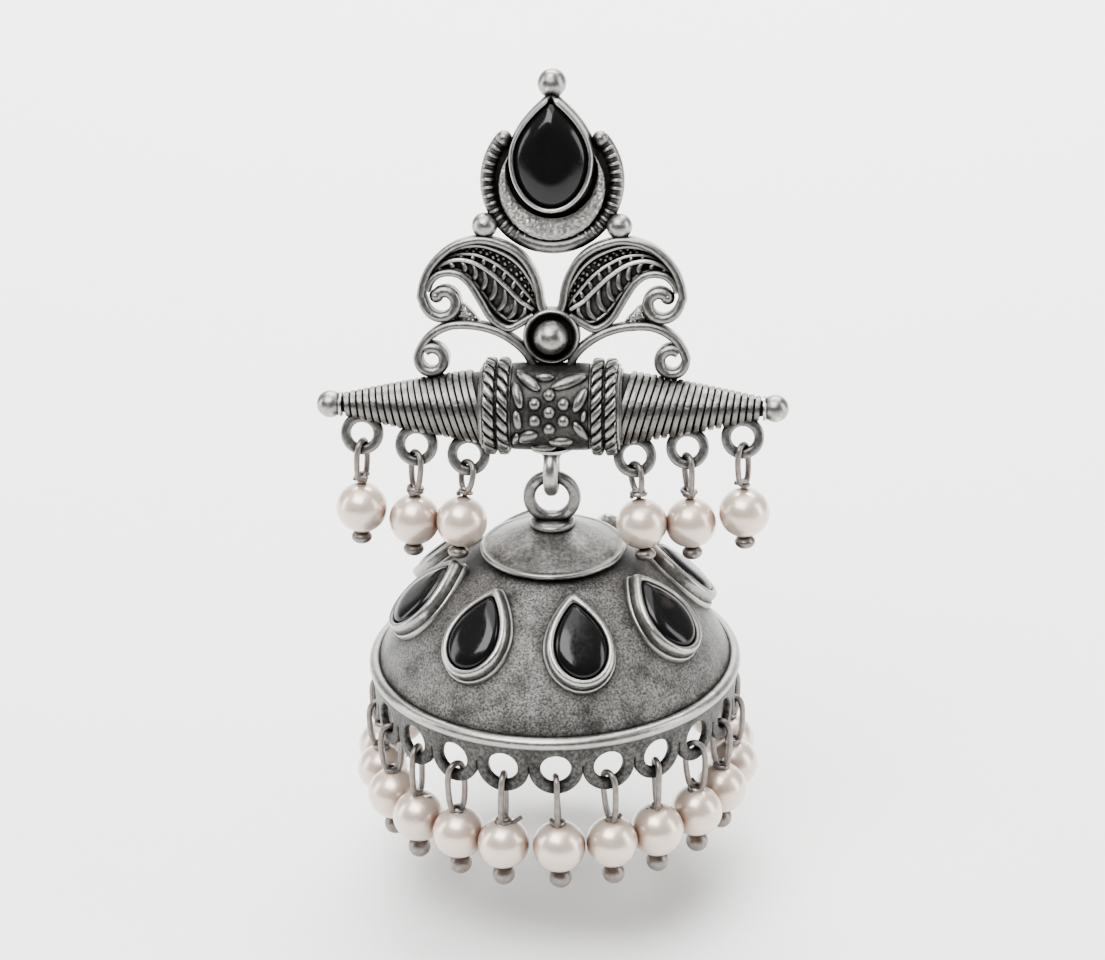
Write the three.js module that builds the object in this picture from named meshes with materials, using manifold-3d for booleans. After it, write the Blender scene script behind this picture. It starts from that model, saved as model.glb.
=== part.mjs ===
// A jhumka earring in oxidised metal, hanging as it is worn. Millimetres, +Z up, the face towards -Y.
// The upper casting (stud, leaves, scrolls and spindle bar) is one soldered piece that leans back a little.
// The dome, its cap, its stones and its fringe hang plumb from a loop under the bar.
import * as THREE from "three";
import { mergeVertices } from "three/addons/utils/BufferGeometryUtils.js";
import Module from "manifold-3d";

const wasm = await Module();
wasm.setup();

// Driving dimensions of the upper casting, in its own plane: across, up, and out from its flat back
const leanDegrees = 15;
const solderOverlap = 0.15;
const ballSeat = 0.75;
const stoneClearance = 0.08;
const hangingClearance = 0.12;

const ringRadius = 5.6;
const ringWire = 1.16;
const ringEndDegrees = 41.5;
const ringEndBallRadius = 0.56;
const discThickness = 0.8;
const crescentRadius = 4.1;
const crescentThinning = 0.64;
const crescentInnerRadius = crescentRadius - crescentThinning;
const crescentShift = 0.6;
const crescentHeight = 1.35;

const studHalfWidth = 3.22;
const studFoot = 4.06;
const studPoint = 4.93;
const studMiddleUp = 1.73;
const studHeight = 2.75;
const studWall = 0.44;
const studStoneHeight = 3.1;
const studFloor = 1.3;
const studChamfer = { height: 0.6, width: 0.75 };
const topBallRadius = 1.08;
const middleBallRadius = 0.92;
const middleBallDegrees = -33.4;

const leafSpan = 10.15;
const leafHeight = 6.2;
const leafWire = 0.63;
const leafRelief = 1.8;
const leafBarWire = 0.3;
const leafBarRelief = 0.35;
const leafPanel = 1.0;
const leafCurlRadius = 1.78;
const leafBars = 4;
const cupRadius = 2.2;
const cupHeight = 1.9;
const cupBallRadius = 1.33;
const cupDrop = 7.4;
const scrollSpan = 10.4;
const scrollCurlRadius = 1.12;
const scrollWire = 0.68;
const scrollRise = 2.7;

const barRadius = 3.45;
const barCentreHalf = 3.1;
const barAxisOut = 1.0;
const ropeWidth = 1.05;
const ropeRadius = 3.8;
const spindleRadius = 2.98;
const spindleTipRadius = 0.85;
const spindleTipAcross = 16.45;
const endBallRadius = 1.0;
const flowerDotRadius = 0.45;
const flowerPitch = 1.27;
const barRingHole = 0.88;
const barRingWire = 0.8;
const barRingSink = 0.62;
const barRingsAcross = [6.47, 10.55, 14.8];
const loopWire = 1.0;
const loopRadius = 1.6;
const loopForward = 0.54;
const loopSink = 0.2;
const tabTopRadius = 1.5;
const tabFootRadius = 0.62;
const tabHeight = 0.9;
const tabSink = 0.5;

const postRadius = 0.45;
const postLength = 10.5;
const postPadRadius = 1.7;
const postPadThickness = 0.5;
const postGap = 0.1;

// Driving dimensions of the dome and of all that hangs plumb
const domeRingRadius = 1.78;
const domeRingWire = 0.94;
const collarRadius = 1.7;
const collarThickness = 0.45;
const collarSink = 0.35;
const capRadius = 5.7;
const capFall = 1.95;
const capThickness = 0.4;
const capGap = 0.15;
const rivetRadius = 1.15;
const rivetGap = 0.18;
const rivetHeadRadius = 2.0;
const rivetHeadThickness = 0.4;
const rivetHeadGap = 0.75;
const crownRadius = 5.35;
const skirtRadius = 14.05;
const skirtFall = 9.0;
const skirtBulge = 1.15;
const domeWall = 0.7;
const rimProud = 0.25;
const rimRadius = skirtRadius + rimProud;
const rimWire = 1.0;
const rimDrop = 0.3;

const domeStones = 8;
const domeStoneTurnDegrees = -75.5;
const domeStonePlace = 0.43;
const domeBezelHalfWidth = 2.6;
const domeBezelFoot = 3.0;
const domeBezelPoint = 4.6;
const domeBezelHeight = 0.95;
const domeBezelSink = 0.6;
const domeBezelWall = 0.55;
const bezelRecessTop = 3;
const domeStoneHeight = 1.3;
const domeStoneFloor = 0.25;
const domeStoneChamfer = { height: 0.35, width: 0.55 };

const fringeCount = 22;
const fringeTurnDegrees = -86.3;
const fringeRadius = rimRadius;
const fringeRingHole = 1.18;
const fringeRingOuter = 2.09;
const fringeRingThickness = 0.6;
const fringeRingDrop = 2.16;
const bandCrest = 0.1;
const fringeEyeLength = 4.75;
const fringePearlRadius = 1.95;

const barPearlRadius = 2.0;
const barEyeLengths = [2.95, 3.75, 3.75];
const barDropForwardDegrees = [13, 5, 4];
const barDropOutwardDegrees = [7, 3, 2];
const barNubRadius = 0.5;
const tipBallRadius = 0.88;
const pinWire = 0.46;
const eyeHalfWidth = 0.84;
const pearlBoreGap = 0.08;

// Facets
const wireSides = 5;
const ringSides = 12;
const linkSteps = 6;
const beadSides = 10;
const beadRows = 4;
const pearFootSteps = 5;
const pearRiseSteps = 3;
const barSides = 12;
const ringSteps = 16;
const capSteps = 16;
const loopSteps = 12;
const loopSides = 6;
const barRingSteps = 9;
const arcSteps = 9;
const domeStepsPerRing = 2;
const annulusSteps = 4;
const scallopSteps = 3;
const stoneSteps = 1;
const shellRows = 4;
const tipRows = 2;
const ballSides = 8;
const ballRows = 4;
const leafOuterSteps = 12;
const leafInnerSteps = 10;
const scrollSteps = 8;
const curlSteps = 8;

const radians = THREE.MathUtils.degToRad;

// Finishes
const oxidisedSilver = { color: 0x8d8c88, metalness: 0.9, roughness: 0.42 };
const blackStone = { color: 0x08080a, metalness: 0.0, roughness: 0.12 };
const pearlLustre = { color: 0xe9dad0, metalness: 0.0, roughness: 0.3 };
const pinMetal = { color: 0x9a908b, metalness: 0.8, roughness: 0.45 };

// Closed solids and joins
function solidOf(geometry) {
  const bare = geometry.index ? geometry.toNonIndexed() : geometry.clone();
  bare.deleteAttribute("normal");
  bare.deleteAttribute("uv");
  const merged = mergeVertices(bare, 1e-4);
  const corners = merged.index.array;
  const faces = [];
  for (let i = 0; i < corners.length; i += 3) {
    const [a, b, c] = corners.slice(i, i + 3);
    if (a !== b && b !== c && c !== a) faces.push(a, b, c);
  }
  const mesh = new wasm.Mesh({
    numProp: 3,
    vertProperties: merged.attributes.position.array,
    triVerts: new Uint32Array(faces),
  });
  return new wasm.Manifold(mesh);
}

function geometryOf(solid) {
  const mesh = solid.getMesh();
  const geometry = new THREE.BufferGeometry();
  geometry.setAttribute("position", new THREE.BufferAttribute(mesh.vertProperties, 3));
  geometry.setIndex(new THREE.BufferAttribute(mesh.triVerts, 1));
  geometry.computeVertexNormals();
  return geometry;
}

function joined(geometries) {
  return geometries.map(solidOf).reduce((whole, piece) => whole.add(piece));
}

function moved(geometry, x, y, z) {
  return geometry.translate(x, y, z);
}

// Basic shapes
function ball(radius, x, y, z, sides = ballSides, rows = ballRows) {
  return moved(new THREE.SphereGeometry(radius, sides, rows).rotateX(Math.PI / 2), x, y, z);
}

function slab(outline, bottom, top) {
  const shape = outline instanceof THREE.Shape ? outline : new THREE.Shape(outline);
  const geometry = new THREE.ExtrudeGeometry(shape, {
    depth: top - bottom,
    bevelEnabled: false,
    curveSegments: arcSteps,
  });
  return moved(geometry, 0, 0, bottom);
}

// A solid turned about Z from a profile of [radius, height] pairs, taken upwards along its outer side
function turned(profile, steps) {
  const points = profile.map(([radius, height]) => new THREE.Vector2(radius, height));
  if (THREE.ShapeUtils.area(points) < 0) points.reverse();
  return new THREE.LatheGeometry(points, steps).rotateX(Math.PI / 2);
}

// A curved wire of even width as a flat strip, given its middle line as [across, up] pairs
function strip(line, width) {
  const left = [];
  const right = [];
  line.forEach((point, i) => {
    const before = line[Math.max(i - 1, 0)];
    const after = line[Math.min(i + 1, line.length - 1)];
    const along = new THREE.Vector2(after[0] - before[0], after[1] - before[1]).normalize();
    left.push(new THREE.Vector2(point[0] - (along.y * width) / 2, point[1] + (along.x * width) / 2));
    right.unshift(new THREE.Vector2(point[0] + (along.y * width) / 2, point[1] - (along.x * width) / 2));
  });
  return [...left, ...right];
}

// Evenly spaced points of a smooth line through [across, up] pairs
function smoothLine(knots, steps) {
  const curve = new THREE.SplineCurve(knots.map(([x, y]) => new THREE.Vector2(x, y)));
  return curve.getSpacedPoints(steps).map((point) => [point.x, point.y]);
}

// A curl that winds in from one radius to another, as [across, up] pairs; angles in degrees
function curl(middle, fromAngle, toAngle, fromRadius, toRadius, steps) {
  return Array.from({ length: steps + 1 }, (_, i) => {
    const share = i / steps;
    const angle = radians(fromAngle + (toAngle - fromAngle) * share);
    const radius = fromRadius + (toRadius - fromRadius) * Math.sqrt(share);
    return [middle[0] + radius * Math.cos(angle), middle[1] + radius * Math.sin(angle)];
  });
}

// A pear outline with its widest place at the origin and its point upwards; inset moves all sides in
function pear(halfWidth, foot, point, inset) {
  const half = halfWidth - inset;
  const low = foot - inset;
  const high = point - inset / Math.sin(Math.atan((2 * halfWidth) / point));
  const outline = [];
  for (let i = 0; i <= pearFootSteps; i++) {
    const angle = -Math.PI * (i / pearFootSteps);
    outline.push(new THREE.Vector2(half * Math.cos(angle), low * Math.sin(angle)));
  }
  const rise = Array.from({ length: pearRiseSteps - 1 }, (_, i) => (i + 1) / pearRiseSteps);
  rise.forEach((share) => outline.push(new THREE.Vector2(-half * (1 - share ** 2), high * share)));
  outline.push(new THREE.Vector2(0, high));
  rise.reverse().forEach((share) => outline.push(new THREE.Vector2(half * (1 - share ** 2), high * share)));
  return outline;
}

// A stone with a flat table, a chamfered crown and a girdle
function stone(outline, bottom, top, chamfer, steps) {
  const geometry = new THREE.ExtrudeGeometry(new THREE.Shape(outline), {
    depth: top - bottom - 2 * chamfer.height,
    bevelEnabled: true,
    bevelThickness: chamfer.height,
    bevelSize: chamfer.width,
    bevelOffset: -chamfer.width,
    bevelSegments: steps,
  });
  return moved(geometry, 0, 0, bottom + chamfer.height);
}

// A closed wire link: a torus in the XZ plane pulled apart along Z into a long eye
function link(radius, wire, straight, steps = linkSteps, sides = wireSides) {
  const halfStep = Math.PI / steps;
  const geometry = new THREE.TorusGeometry(radius, wire / 2, sides, steps);
  geometry.rotateZ(halfStep).rotateX(Math.PI / 2);
  const place = geometry.attributes.position;
  for (let i = 0; i < place.count; i++) {
    place.setZ(i, place.getZ(i) + (Math.sign(place.getZ(i)) * straight) / 2);
  }
  return geometry;
}

function named(name, solidOrGeometry, finish) {
  const isSolid = !solidOrGeometry.isBufferGeometry;
  const geometry = isSolid ? geometryOf(solidOrGeometry) : solidOrGeometry;
  const mesh = new THREE.Mesh(geometry, new THREE.MeshStandardMaterial(finish));
  mesh.name = name;
  return mesh;
}

// Heights along the upper casting, each worked out from what carries it
const lean = radians(leanDegrees);
const ringMiddle = ringRadius - ringWire / 2;
const middleBallReach = ringRadius + 0.9 * ballSeat * middleBallRadius;
const middleBallAcross = middleBallReach * Math.cos(radians(middleBallDegrees));
const middleBallUp = middleBallReach * Math.sin(radians(middleBallDegrees));
const leafTop = middleBallUp - middleBallRadius - leafWire / 2 + solderOverlap;
const cupUp = leafTop - cupDrop;
const barUp = cupUp - cupRadius - barRadius + solderOverlap;
const spindleStart = barCentreHalf + 2 * ropeWidth;

function spindleRadiusAt(across) {
  const share = (across - spindleStart) / (spindleTipAcross - spindleStart);
  return spindleRadius + (spindleTipRadius - spindleRadius) * share + 0.42 * share * (1 - share);
}

// The granulated ring, its disc, the crescent and the raised bezel of the stud
function studPieces() {
  const start = radians(180 - ringEndDegrees);
  const end = radians(360 + ringEndDegrees);
  const arc = new THREE.Shape();
  arc.absarc(0, 0, ringMiddle, start, end, false);
  const sectionSides = loopSides;
  const sweep = new THREE.LatheGeometry(
    Array.from({ length: sectionSides + 1 }, (_, i) => {
      const angle = (2 * Math.PI * (i % sectionSides)) / sectionSides;
      return new THREE.Vector2(
        ringMiddle + (ringWire / 2) * Math.cos(angle),
        ringWire / 2 + (ringWire / 2) * Math.sin(angle),
      );
    }),
    ringSteps,
  ).rotateX(Math.PI / 2);
  const cutHalf = ringRadius * 2;
  const cutAcross = cutHalf * Math.cos(radians(ringEndDegrees));
  const cutUp = cutHalf * Math.sin(radians(ringEndDegrees));
  const notch = new THREE.Shape([
    new THREE.Vector2(0, 0),
    new THREE.Vector2(cutAcross, cutUp),
    new THREE.Vector2(-cutAcross, cutUp),
  ]);
  const ring = solidOf(sweep).subtract(solidOf(slab(notch, -ringWire, 2 * ringWire)));
  const endAcross = (ringMiddle - 0.1) * Math.cos(radians(ringEndDegrees));
  const endUp = (ringMiddle - 0.1) * Math.sin(radians(ringEndDegrees));
  const crescentDrop = -crescentShift * (2 / 3);
  const crescentRise = crescentDrop + crescentShift + crescentShift * (2 / 3);
  const hornUp =
    (crescentRadius ** 2 - crescentInnerRadius ** 2 - crescentDrop ** 2 + crescentRise ** 2) /
    (2 * (crescentRise - crescentDrop));
  const outerHorn = Math.asin((hornUp - crescentDrop) / crescentRadius);
  const innerHorn = Math.asin((hornUp - crescentRise) / crescentInnerRadius);
  const crescent = new THREE.Shape();
  crescent.absarc(0, crescentDrop, crescentRadius, Math.PI - outerHorn, 2 * Math.PI + outerHorn, false);
  crescent.absarc(0, crescentRise, crescentInnerRadius, innerHorn, Math.PI - innerHorn, true);
  const bezelOutline = new THREE.Shape(pear(studHalfWidth, studFoot, studPoint, 0));
  const bezel = solidOf(moved(slab(bezelOutline, discThickness / 2, studHeight), 0, studMiddleUp, 0));
  const recess = new THREE.Shape(pear(studHalfWidth, studFoot, studPoint, studWall));
  const bezelRecess = solidOf(moved(slab(recess, studFloor, studHeight + 1), 0, studMiddleUp, 0));
  const apexUp = studMiddleUp + studPoint;
  const plates = joined([
    slab(arc, 0, discThickness),
    slab(crescent, discThickness / 2, crescentHeight),
    ball(ringEndBallRadius, endAcross, endUp, ringWire * ballSeat),
    ball(ringEndBallRadius, -endAcross, endUp, ringWire * ballSeat),
    ball(topBallRadius, 0, apexUp + ballSeat * topBallRadius, topBallRadius, beadSides),
    ball(middleBallRadius, middleBallAcross, middleBallUp, middleBallRadius),
    ball(middleBallRadius, -middleBallAcross, middleBallUp, middleBallRadius),
  ]);
  return plates.add(ring).add(bezel).subtract(bezelRecess);
}

// Knots of the leaf's outer wire and of its inner wire, as shares of the leaf's span and height
const leafOuterKnots = [
  [0.085, -0.77],
  [0.1, -0.6],
  [0.138, -0.42],
  [0.202, -0.25],
  [0.29, -0.125],
  [0.4, -0.045],
  [0.522, 0],
  [0.64, -0.02],
  [0.75, -0.085],
  [0.852, -0.21],
  [0.941, -0.38],
];
const leafInnerKnots = [
  [0.955, -0.64],
  [0.926, -0.53],
  [0.867, -0.44],
  [0.783, -0.41],
  [0.7, -0.44],
  [0.626, -0.54],
  [0.562, -0.7],
  [0.512, -0.84],
  [0.473, -0.945],
  [0.404, -1.05],
  [0.325, -1.1],
  [0.241, -1.04],
];

// One leaf: a backed panel between two wires, cross bars on it, and a curl with a small web below
function leafPieces(side) {
  const place = ([across, up]) => [across * leafSpan, leafTop + up * leafHeight];
  const stemTop = [0.3 * cupRadius, cupUp + 0.9 * cupRadius];
  const curlMiddle = [leafSpan - leafCurlRadius, leafTop - 0.775 * leafHeight];
  const outer = smoothLine([stemTop, ...leafOuterKnots.map(place)], leafOuterSteps);
  const turn = curl(curlMiddle, 12, -330, leafCurlRadius, 0.42 * leafCurlRadius, curlSteps);
  const innerEnd = [0.62 * cupRadius, cupUp + 0.72 * cupRadius];
  const inner = smoothLine([...leafInnerKnots.map(place), innerEnd], leafInnerSteps);
  const mirrored = (line) => line.map(([x, y]) => [side * x, y]);
  const corners = (line) => mirrored(line).map(([x, y]) => new THREE.Vector2(x, y));
  const panel = new THREE.Shape(corners([...outer, turn[0], ...inner]));
  const wires = [strip(mirrored([...outer, ...turn]), leafWire), strip(mirrored(inner), leafWire)];
  const web = corners([
    [curlMiddle[0] - 0.62 * leafCurlRadius, curlMiddle[1]],
    [curlMiddle[0] - 0.35 * leafCurlRadius, curlMiddle[1] - 0.6 * leafCurlRadius],
    [scrollSpan * 0.68, scrollTopUp()],
    [scrollSpan * 0.49, scrollTopUp() - scrollWire / 2],
    [curlMiddle[0] - 1.35 * leafCurlRadius, curlMiddle[1] - 0.55 * leafCurlRadius],
  ]);
  const bars = Array.from({ length: leafBars }, (_, i) => {
    const share = (i + 1) / (leafBars + 1);
    const from = outer[Math.round(leafOuterSteps * (0.22 + 0.62 * share))];
    const to = inner[Math.round(leafInnerSteps * (0.88 - 0.68 * share))];
    const between = (s) => [from[0] + (to[0] - from[0]) * s, from[1] + (to[1] - from[1]) * s];
    const line = [between(0.1), between(0.6)];
    return slab(strip(mirrored(line), leafBarWire), leafPanel / 2, leafPanel + leafBarRelief);
  });
  return joined([
    slab(panel, 0, leafPanel),
    ...wires.map((outline) => slab(outline, 0, leafRelief)),
    slab(web, 0, leafPanel),
    ...bars,
  ]);
}

// Middle of the lower scroll's curl, which stands on the spindle
function scrollCurlMiddle() {
  const across = scrollSpan - scrollCurlRadius;
  const standing = barUp + spindleRadiusAt(across) + scrollCurlRadius + scrollWire / 2;
  return [across, standing - solderOverlap];
}

function scrollTopUp() {
  return scrollCurlMiddle()[1] + scrollRise;
}

// One lower scroll, from the cup's foot over to its curl on the spindle
function scrollPiece(side) {
  const middle = scrollCurlMiddle();
  const top = scrollTopUp();
  const foot = cupUp - 0.8 * cupRadius;
  const rise = (share) => foot + (top - foot) * share;
  const line = smoothLine(
    [
      [0.62 * cupRadius, foot - 0.3 * cupRadius],
      [0.18 * scrollSpan, rise(0.14)],
      [0.262 * scrollSpan, rise(0.47)],
      [0.375 * scrollSpan, rise(0.76)],
      [0.495 * scrollSpan, rise(0.93)],
      [0.615 * scrollSpan, rise(1)],
      [0.735 * scrollSpan, rise(0.99)],
      [0.84 * scrollSpan, rise(0.84)],
      [0.925 * scrollSpan, rise(0.58)],
      [0.982 * scrollSpan, rise(0.22)],
    ],
    scrollSteps,
  );
  const turn = curl(middle, 10, -300, scrollCurlRadius, 0.86 * scrollCurlRadius, curlSteps);
  const mirrored = [...line, ...turn].map(([x, y]) => [side * x, y]);
  return solidOf(slab(strip(mirrored, scrollWire), 0, leafRelief));
}

// The open cup with its ball
function cupPieces() {
  const wall = 0.2 * cupRadius;
  const cup = turned(
    [
      [0, 0],
      [cupRadius, 0],
      [cupRadius, cupHeight - wall / 2],
      [cupRadius - wall / 2, cupHeight],
      [cupRadius - wall, cupHeight - wall / 2],
      [cupRadius - 1.4 * wall, cupHeight / 2],
      [0, cupHeight / 2],
    ],
    ringSides,
  );
  const ballOut = cupHeight / 2 + cupBallRadius * 0.95;
  return joined([moved(cup, 0, cupUp, 0), ball(cupBallRadius, 0, cupUp, ballOut, beadSides)]);
}

// The spindle bar with its two pairs of rope bands, its end balls and the flower of dots
function barPieces() {
  const half = [[0, barRadius], [barCentreHalf, barRadius]];
  for (const band of [0, 1]) {
    const from = barCentreHalf + band * ropeWidth;
    half.push([from + 0.1 * ropeWidth, barRadius + 0.05]);
    half.push([from + 0.5 * ropeWidth, ropeRadius]);
  }
  for (const share of [0, 0.3, 0.65, 1]) {
    const across = spindleStart + 0.05 + (spindleTipAcross - spindleStart - 0.05) * share;
    half.push([across, spindleRadiusAt(across)]);
  }
  half.push([spindleTipAcross + 0.3, 0.7 * spindleTipRadius]);
  half.push([spindleTipAcross + 0.3, 0]);
  const far = half.map(([across, radius]) => [radius, across]);
  const near = half.slice(1).reverse().map(([across, radius]) => [radius, -across]);
  const body = turned([...near, ...far], barSides).rotateY(Math.PI / 2);
  const endAcross = spindleTipAcross + 0.83 * endBallRadius;
  const pieces = [
    moved(body, 0, barUp, barAxisOut),
    ball(endBallRadius, endAcross, barUp, barAxisOut),
    ball(endBallRadius, -endAcross, barUp, barAxisOut),
  ];
  const dots = [[0, 0]];
  for (let i = 0; i < 6; i++) {
    const angle = radians(30 + 60 * i);
    dots.push([flowerPitch * Math.cos(angle), flowerPitch * Math.sin(angle)]);
  }
  dots.forEach(([across, up]) => {
    const out = barAxisOut + Math.sqrt(barRadius ** 2 - up ** 2);
    pieces.push(ball(flowerDotRadius, across, barUp + up, out, 5, 3));
  });
  return joined(pieces);
}

// Middles of the rings under the bar, on its right half
function barRingMiddle(across) {
  const standing = barRingHole + barRingWire - barRingSink;
  return [across, barUp - spindleRadiusAt(across) - standing, barAxisOut];
}

function barRingPieces() {
  const pieces = [];
  for (const across of barRingsAcross) {
    for (const side of [-1, 1]) {
      const [x, y, z] = barRingMiddle(across);
      const middle = barRingHole + barRingWire / 2;
      const ring = new THREE.TorusGeometry(middle, barRingWire / 2, wireSides, barRingSteps);
      pieces.push(moved(ring, side * x, y, z));
    }
  }
  return joined(pieces);
}

// Places in the world: the casting leans back about X, what hangs below is plumb
function worldOf([across, up, out]) {
  const y = up * Math.sin(lean) - out * Math.cos(lean);
  const z = up * Math.cos(lean) + out * Math.sin(lean);
  return new THREE.Vector3(across, y, z);
}

const barBottom = worldOf([0, barUp - barRadius, barAxisOut]);
const loopMiddle = barBottom.clone().add(new THREE.Vector3(0, -loopForward, -(loopRadius - loopSink)));
const loopInnerBottom = loopMiddle.z - loopRadius + loopWire / 2;
const pivot = new THREE.Vector3(0, loopMiddle.y, loopInnerBottom + domeRingWire / 2 + hangingClearance / 2);

// The loop stands fore and aft under the bar, with a flared tab round its root
function loopPieces() {
  const loop = new THREE.TorusGeometry(loopRadius, loopWire / 2, loopSides, loopSteps);
  loop.rotateY(Math.PI / 2);
  const tab = turned(
    [
      [0, -tabHeight],
      [tabFootRadius, -tabHeight],
      [1.2 * tabFootRadius, -tabHeight / 3],
      [tabTopRadius, tabSink],
      [0, tabSink],
    ],
    beadSides,
  );
  return joined([
    moved(loop, loopMiddle.x, loopMiddle.y, loopMiddle.z),
    moved(tab, barBottom.x, barBottom.y, barBottom.z),
  ]);
}

// The whole casting, cut off flat behind and stood up
function topCasting() {
  const back = new THREE.BoxGeometry(60, 90, 20).translate(0, -15, -10);
  let casting = studPieces();
  for (const side of [-1, 1]) {
    casting = casting.add(leafPieces(side)).add(scrollPiece(side));
  }
  casting = casting.add(cupPieces()).add(barPieces()).add(barRingPieces()).subtract(solidOf(back));
  const upright = geometryOf(casting).rotateX(Math.PI / 2 - lean);
  return solidOf(upright).add(loopPieces());
}

function studStone() {
  const outline = pear(studHalfWidth, studFoot, studPoint, studWall + stoneClearance);
  const geometry = stone(outline, studFloor + stoneClearance, studStoneHeight, studChamfer, 2);
  return moved(geometry, 0, studMiddleUp, 0);
}

// The post stands square on the flat back, behind the stud
function earPost() {
  const tip = -postGap - postLength;
  const profile = [
    [0, -postGap],
    [postPadRadius, -postGap],
    [postPadRadius, -postGap - postPadThickness],
    [postRadius, -postGap - postPadThickness],
    [postRadius, tip + 0.6],
    [0.5 * postRadius, tip],
    [0, tip],
  ];
  return turned(profile, 10);
}

// The dome's facets turn with the fringe, so that its rim and the band of rings share their corners
const domeSteps = domeStepsPerRing * fringeCount;
const facetTurn = radians(fringeTurnDegrees);

// Heights below the hinge of the dome
const domeRingMiddleZ = -domeRingRadius;
const collarTopZ = domeRingMiddleZ - domeRingRadius - domeRingWire / 2 + collarSink;
const capTopZ = collarTopZ - collarThickness;
const capEdgeZ = capTopZ - capFall;
const crownTopZ = capTopZ - capThickness - capGap;
const crownEdgeZ = capEdgeZ - capThickness / 2 - capGap - 0.05;
const skirtFootZ = crownEdgeZ - skirtFall;
const rimZ = skirtFootZ - rimDrop;
const fringeRingZ = rimZ - fringeRingDrop;

const crownEdge = new THREE.Vector2(crownRadius, crownEdgeZ);
const skirtFoot = new THREE.Vector2(skirtRadius, skirtFootZ);
const skirtChord = skirtFoot.clone().sub(crownEdge);
const skirtOut = new THREE.Vector2(-skirtChord.y, skirtChord.x).normalize();
const skirtMiddle = crownEdge.clone().add(skirtFoot).multiplyScalar(0.5);
const skirtHeight = skirtMiddle.addScaledVector(skirtOut, 2 * skirtBulge);
const skirtCurve = new THREE.QuadraticBezierCurve(crownEdge, skirtHeight, skirtFoot);

// The dome's outer and inner faces from the rivet's hole to the foot, a wall apart
function shellFaces() {
  const holeRadius = rivetRadius + rivetGap;
  const outer = [[holeRadius, crownTopZ]];
  const inner = [[holeRadius, crownTopZ - domeWall]];
  for (let i = 0; i <= shellRows; i++) {
    const point = skirtCurve.getPoint(i / shellRows);
    const along = skirtCurve.getTangent(i / shellRows);
    outer.push([point.x, point.y]);
    if (i % 2 === 0) inner.push([point.x + along.y * domeWall, point.y - along.x * domeWall]);
  }
  for (const degrees of [60, -25, -130]) {
    const angle = radians(degrees);
    outer.push([rimRadius + (rimWire / 2) * Math.cos(angle), rimZ + (rimWire / 2) * Math.sin(angle)]);
  }
  return { outer, inner };
}

// Seat of one dome stone: X along the rim, Y up the dome, Z out of it
function stoneSeat(index) {
  const angle = radians(domeStoneTurnDegrees + (360 * index) / domeStones);
  const point = skirtCurve.getPoint(domeStonePlace);
  const along = skirtCurve.getTangent(domeStonePlace);
  const outward = new THREE.Vector3(Math.cos(angle), Math.sin(angle), 0);
  const up = outward.clone().multiplyScalar(-along.x).setZ(-along.y);
  const out = outward.clone().multiplyScalar(-along.y).setZ(along.x);
  const across = new THREE.Vector3().crossVectors(up, out);
  const seat = new THREE.Matrix4().makeBasis(across, up, out);
  const place = outward.clone().multiplyScalar(point.x).setZ(point.y);
  place.addScaledVector(up, -(domeBezelPoint - domeBezelFoot) / 2);
  return seat.setPosition(place);
}

function fringePlace(index) {
  const angle = radians(fringeTurnDegrees + (360 * index) / fringeCount);
  return { angle, x: fringeRadius * Math.cos(angle), y: fringeRadius * Math.sin(angle) };
}

// The scalloped band of rings under the rim: one flat tile with its hole, bent and repeated round the dome.
// The tiles' end walls are dropped, so that neighbours share their edges.
function fringeBand() {
  const pitch = (2 * Math.PI * fringeRadius) / fringeCount;
  const near = 1e-3;
  const valley = Math.acos(Math.min(1, pitch / 2 / fringeRingOuter));
  const valleyUp = -fringeRingOuter * Math.sin(valley);
  const outline = [
    [pitch, fringeRingDrop],
    [pitch / 2, fringeRingDrop + bandCrest],
    [0, fringeRingDrop],
    [0, valleyUp],
  ];
  for (let j = 1; j < scallopSteps; j++) {
    const angle = Math.PI + valley + ((Math.PI - 2 * valley) * j) / scallopSteps;
    outline.push([pitch / 2 + fringeRingOuter * Math.cos(angle), fringeRingOuter * Math.sin(angle)]);
  }
  outline.push([pitch, valleyUp]);
  const shape = new THREE.Shape(outline.map(([x, y]) => new THREE.Vector2(x, y)));
  const hole = new THREE.Path();
  hole.absarc(pitch / 2, 0, fringeRingHole, 0, 2 * Math.PI, true);
  shape.holes.push(hole);
  const tile = new THREE.ExtrudeGeometry(shape, {
    depth: fringeRingThickness,
    bevelEnabled: false,
    curveSegments: annulusSteps,
  }).attributes.position;
  const places = [];
  for (let k = 0; k < fringeCount; k++) {
    for (let i = 0; i < tile.count; i += 3) {
      const corners = [i, i + 1, i + 2];
      if ([0, pitch].some((end) => corners.every((j) => Math.abs(tile.getX(j) - end) < near))) continue;
      for (const j of corners) {
        const share = pitch - tile.getX(j) < near ? 1 : tile.getX(j) / pitch;
        const turn = ((k + share) % fringeCount) / fringeCount;
        const angle = radians(fringeTurnDegrees - 180 / fringeCount) + 2 * Math.PI * turn;
        const radius = fringeRadius - fringeRingThickness / 2 + tile.getZ(j);
        places.push(radius * Math.cos(angle), radius * Math.sin(angle), fringeRingZ + tile.getY(j));
      }
    }
  }
  return solidOf(
    new THREE.BufferGeometry().setAttribute("position", new THREE.Float32BufferAttribute(places, 3)),
  );
}

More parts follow.
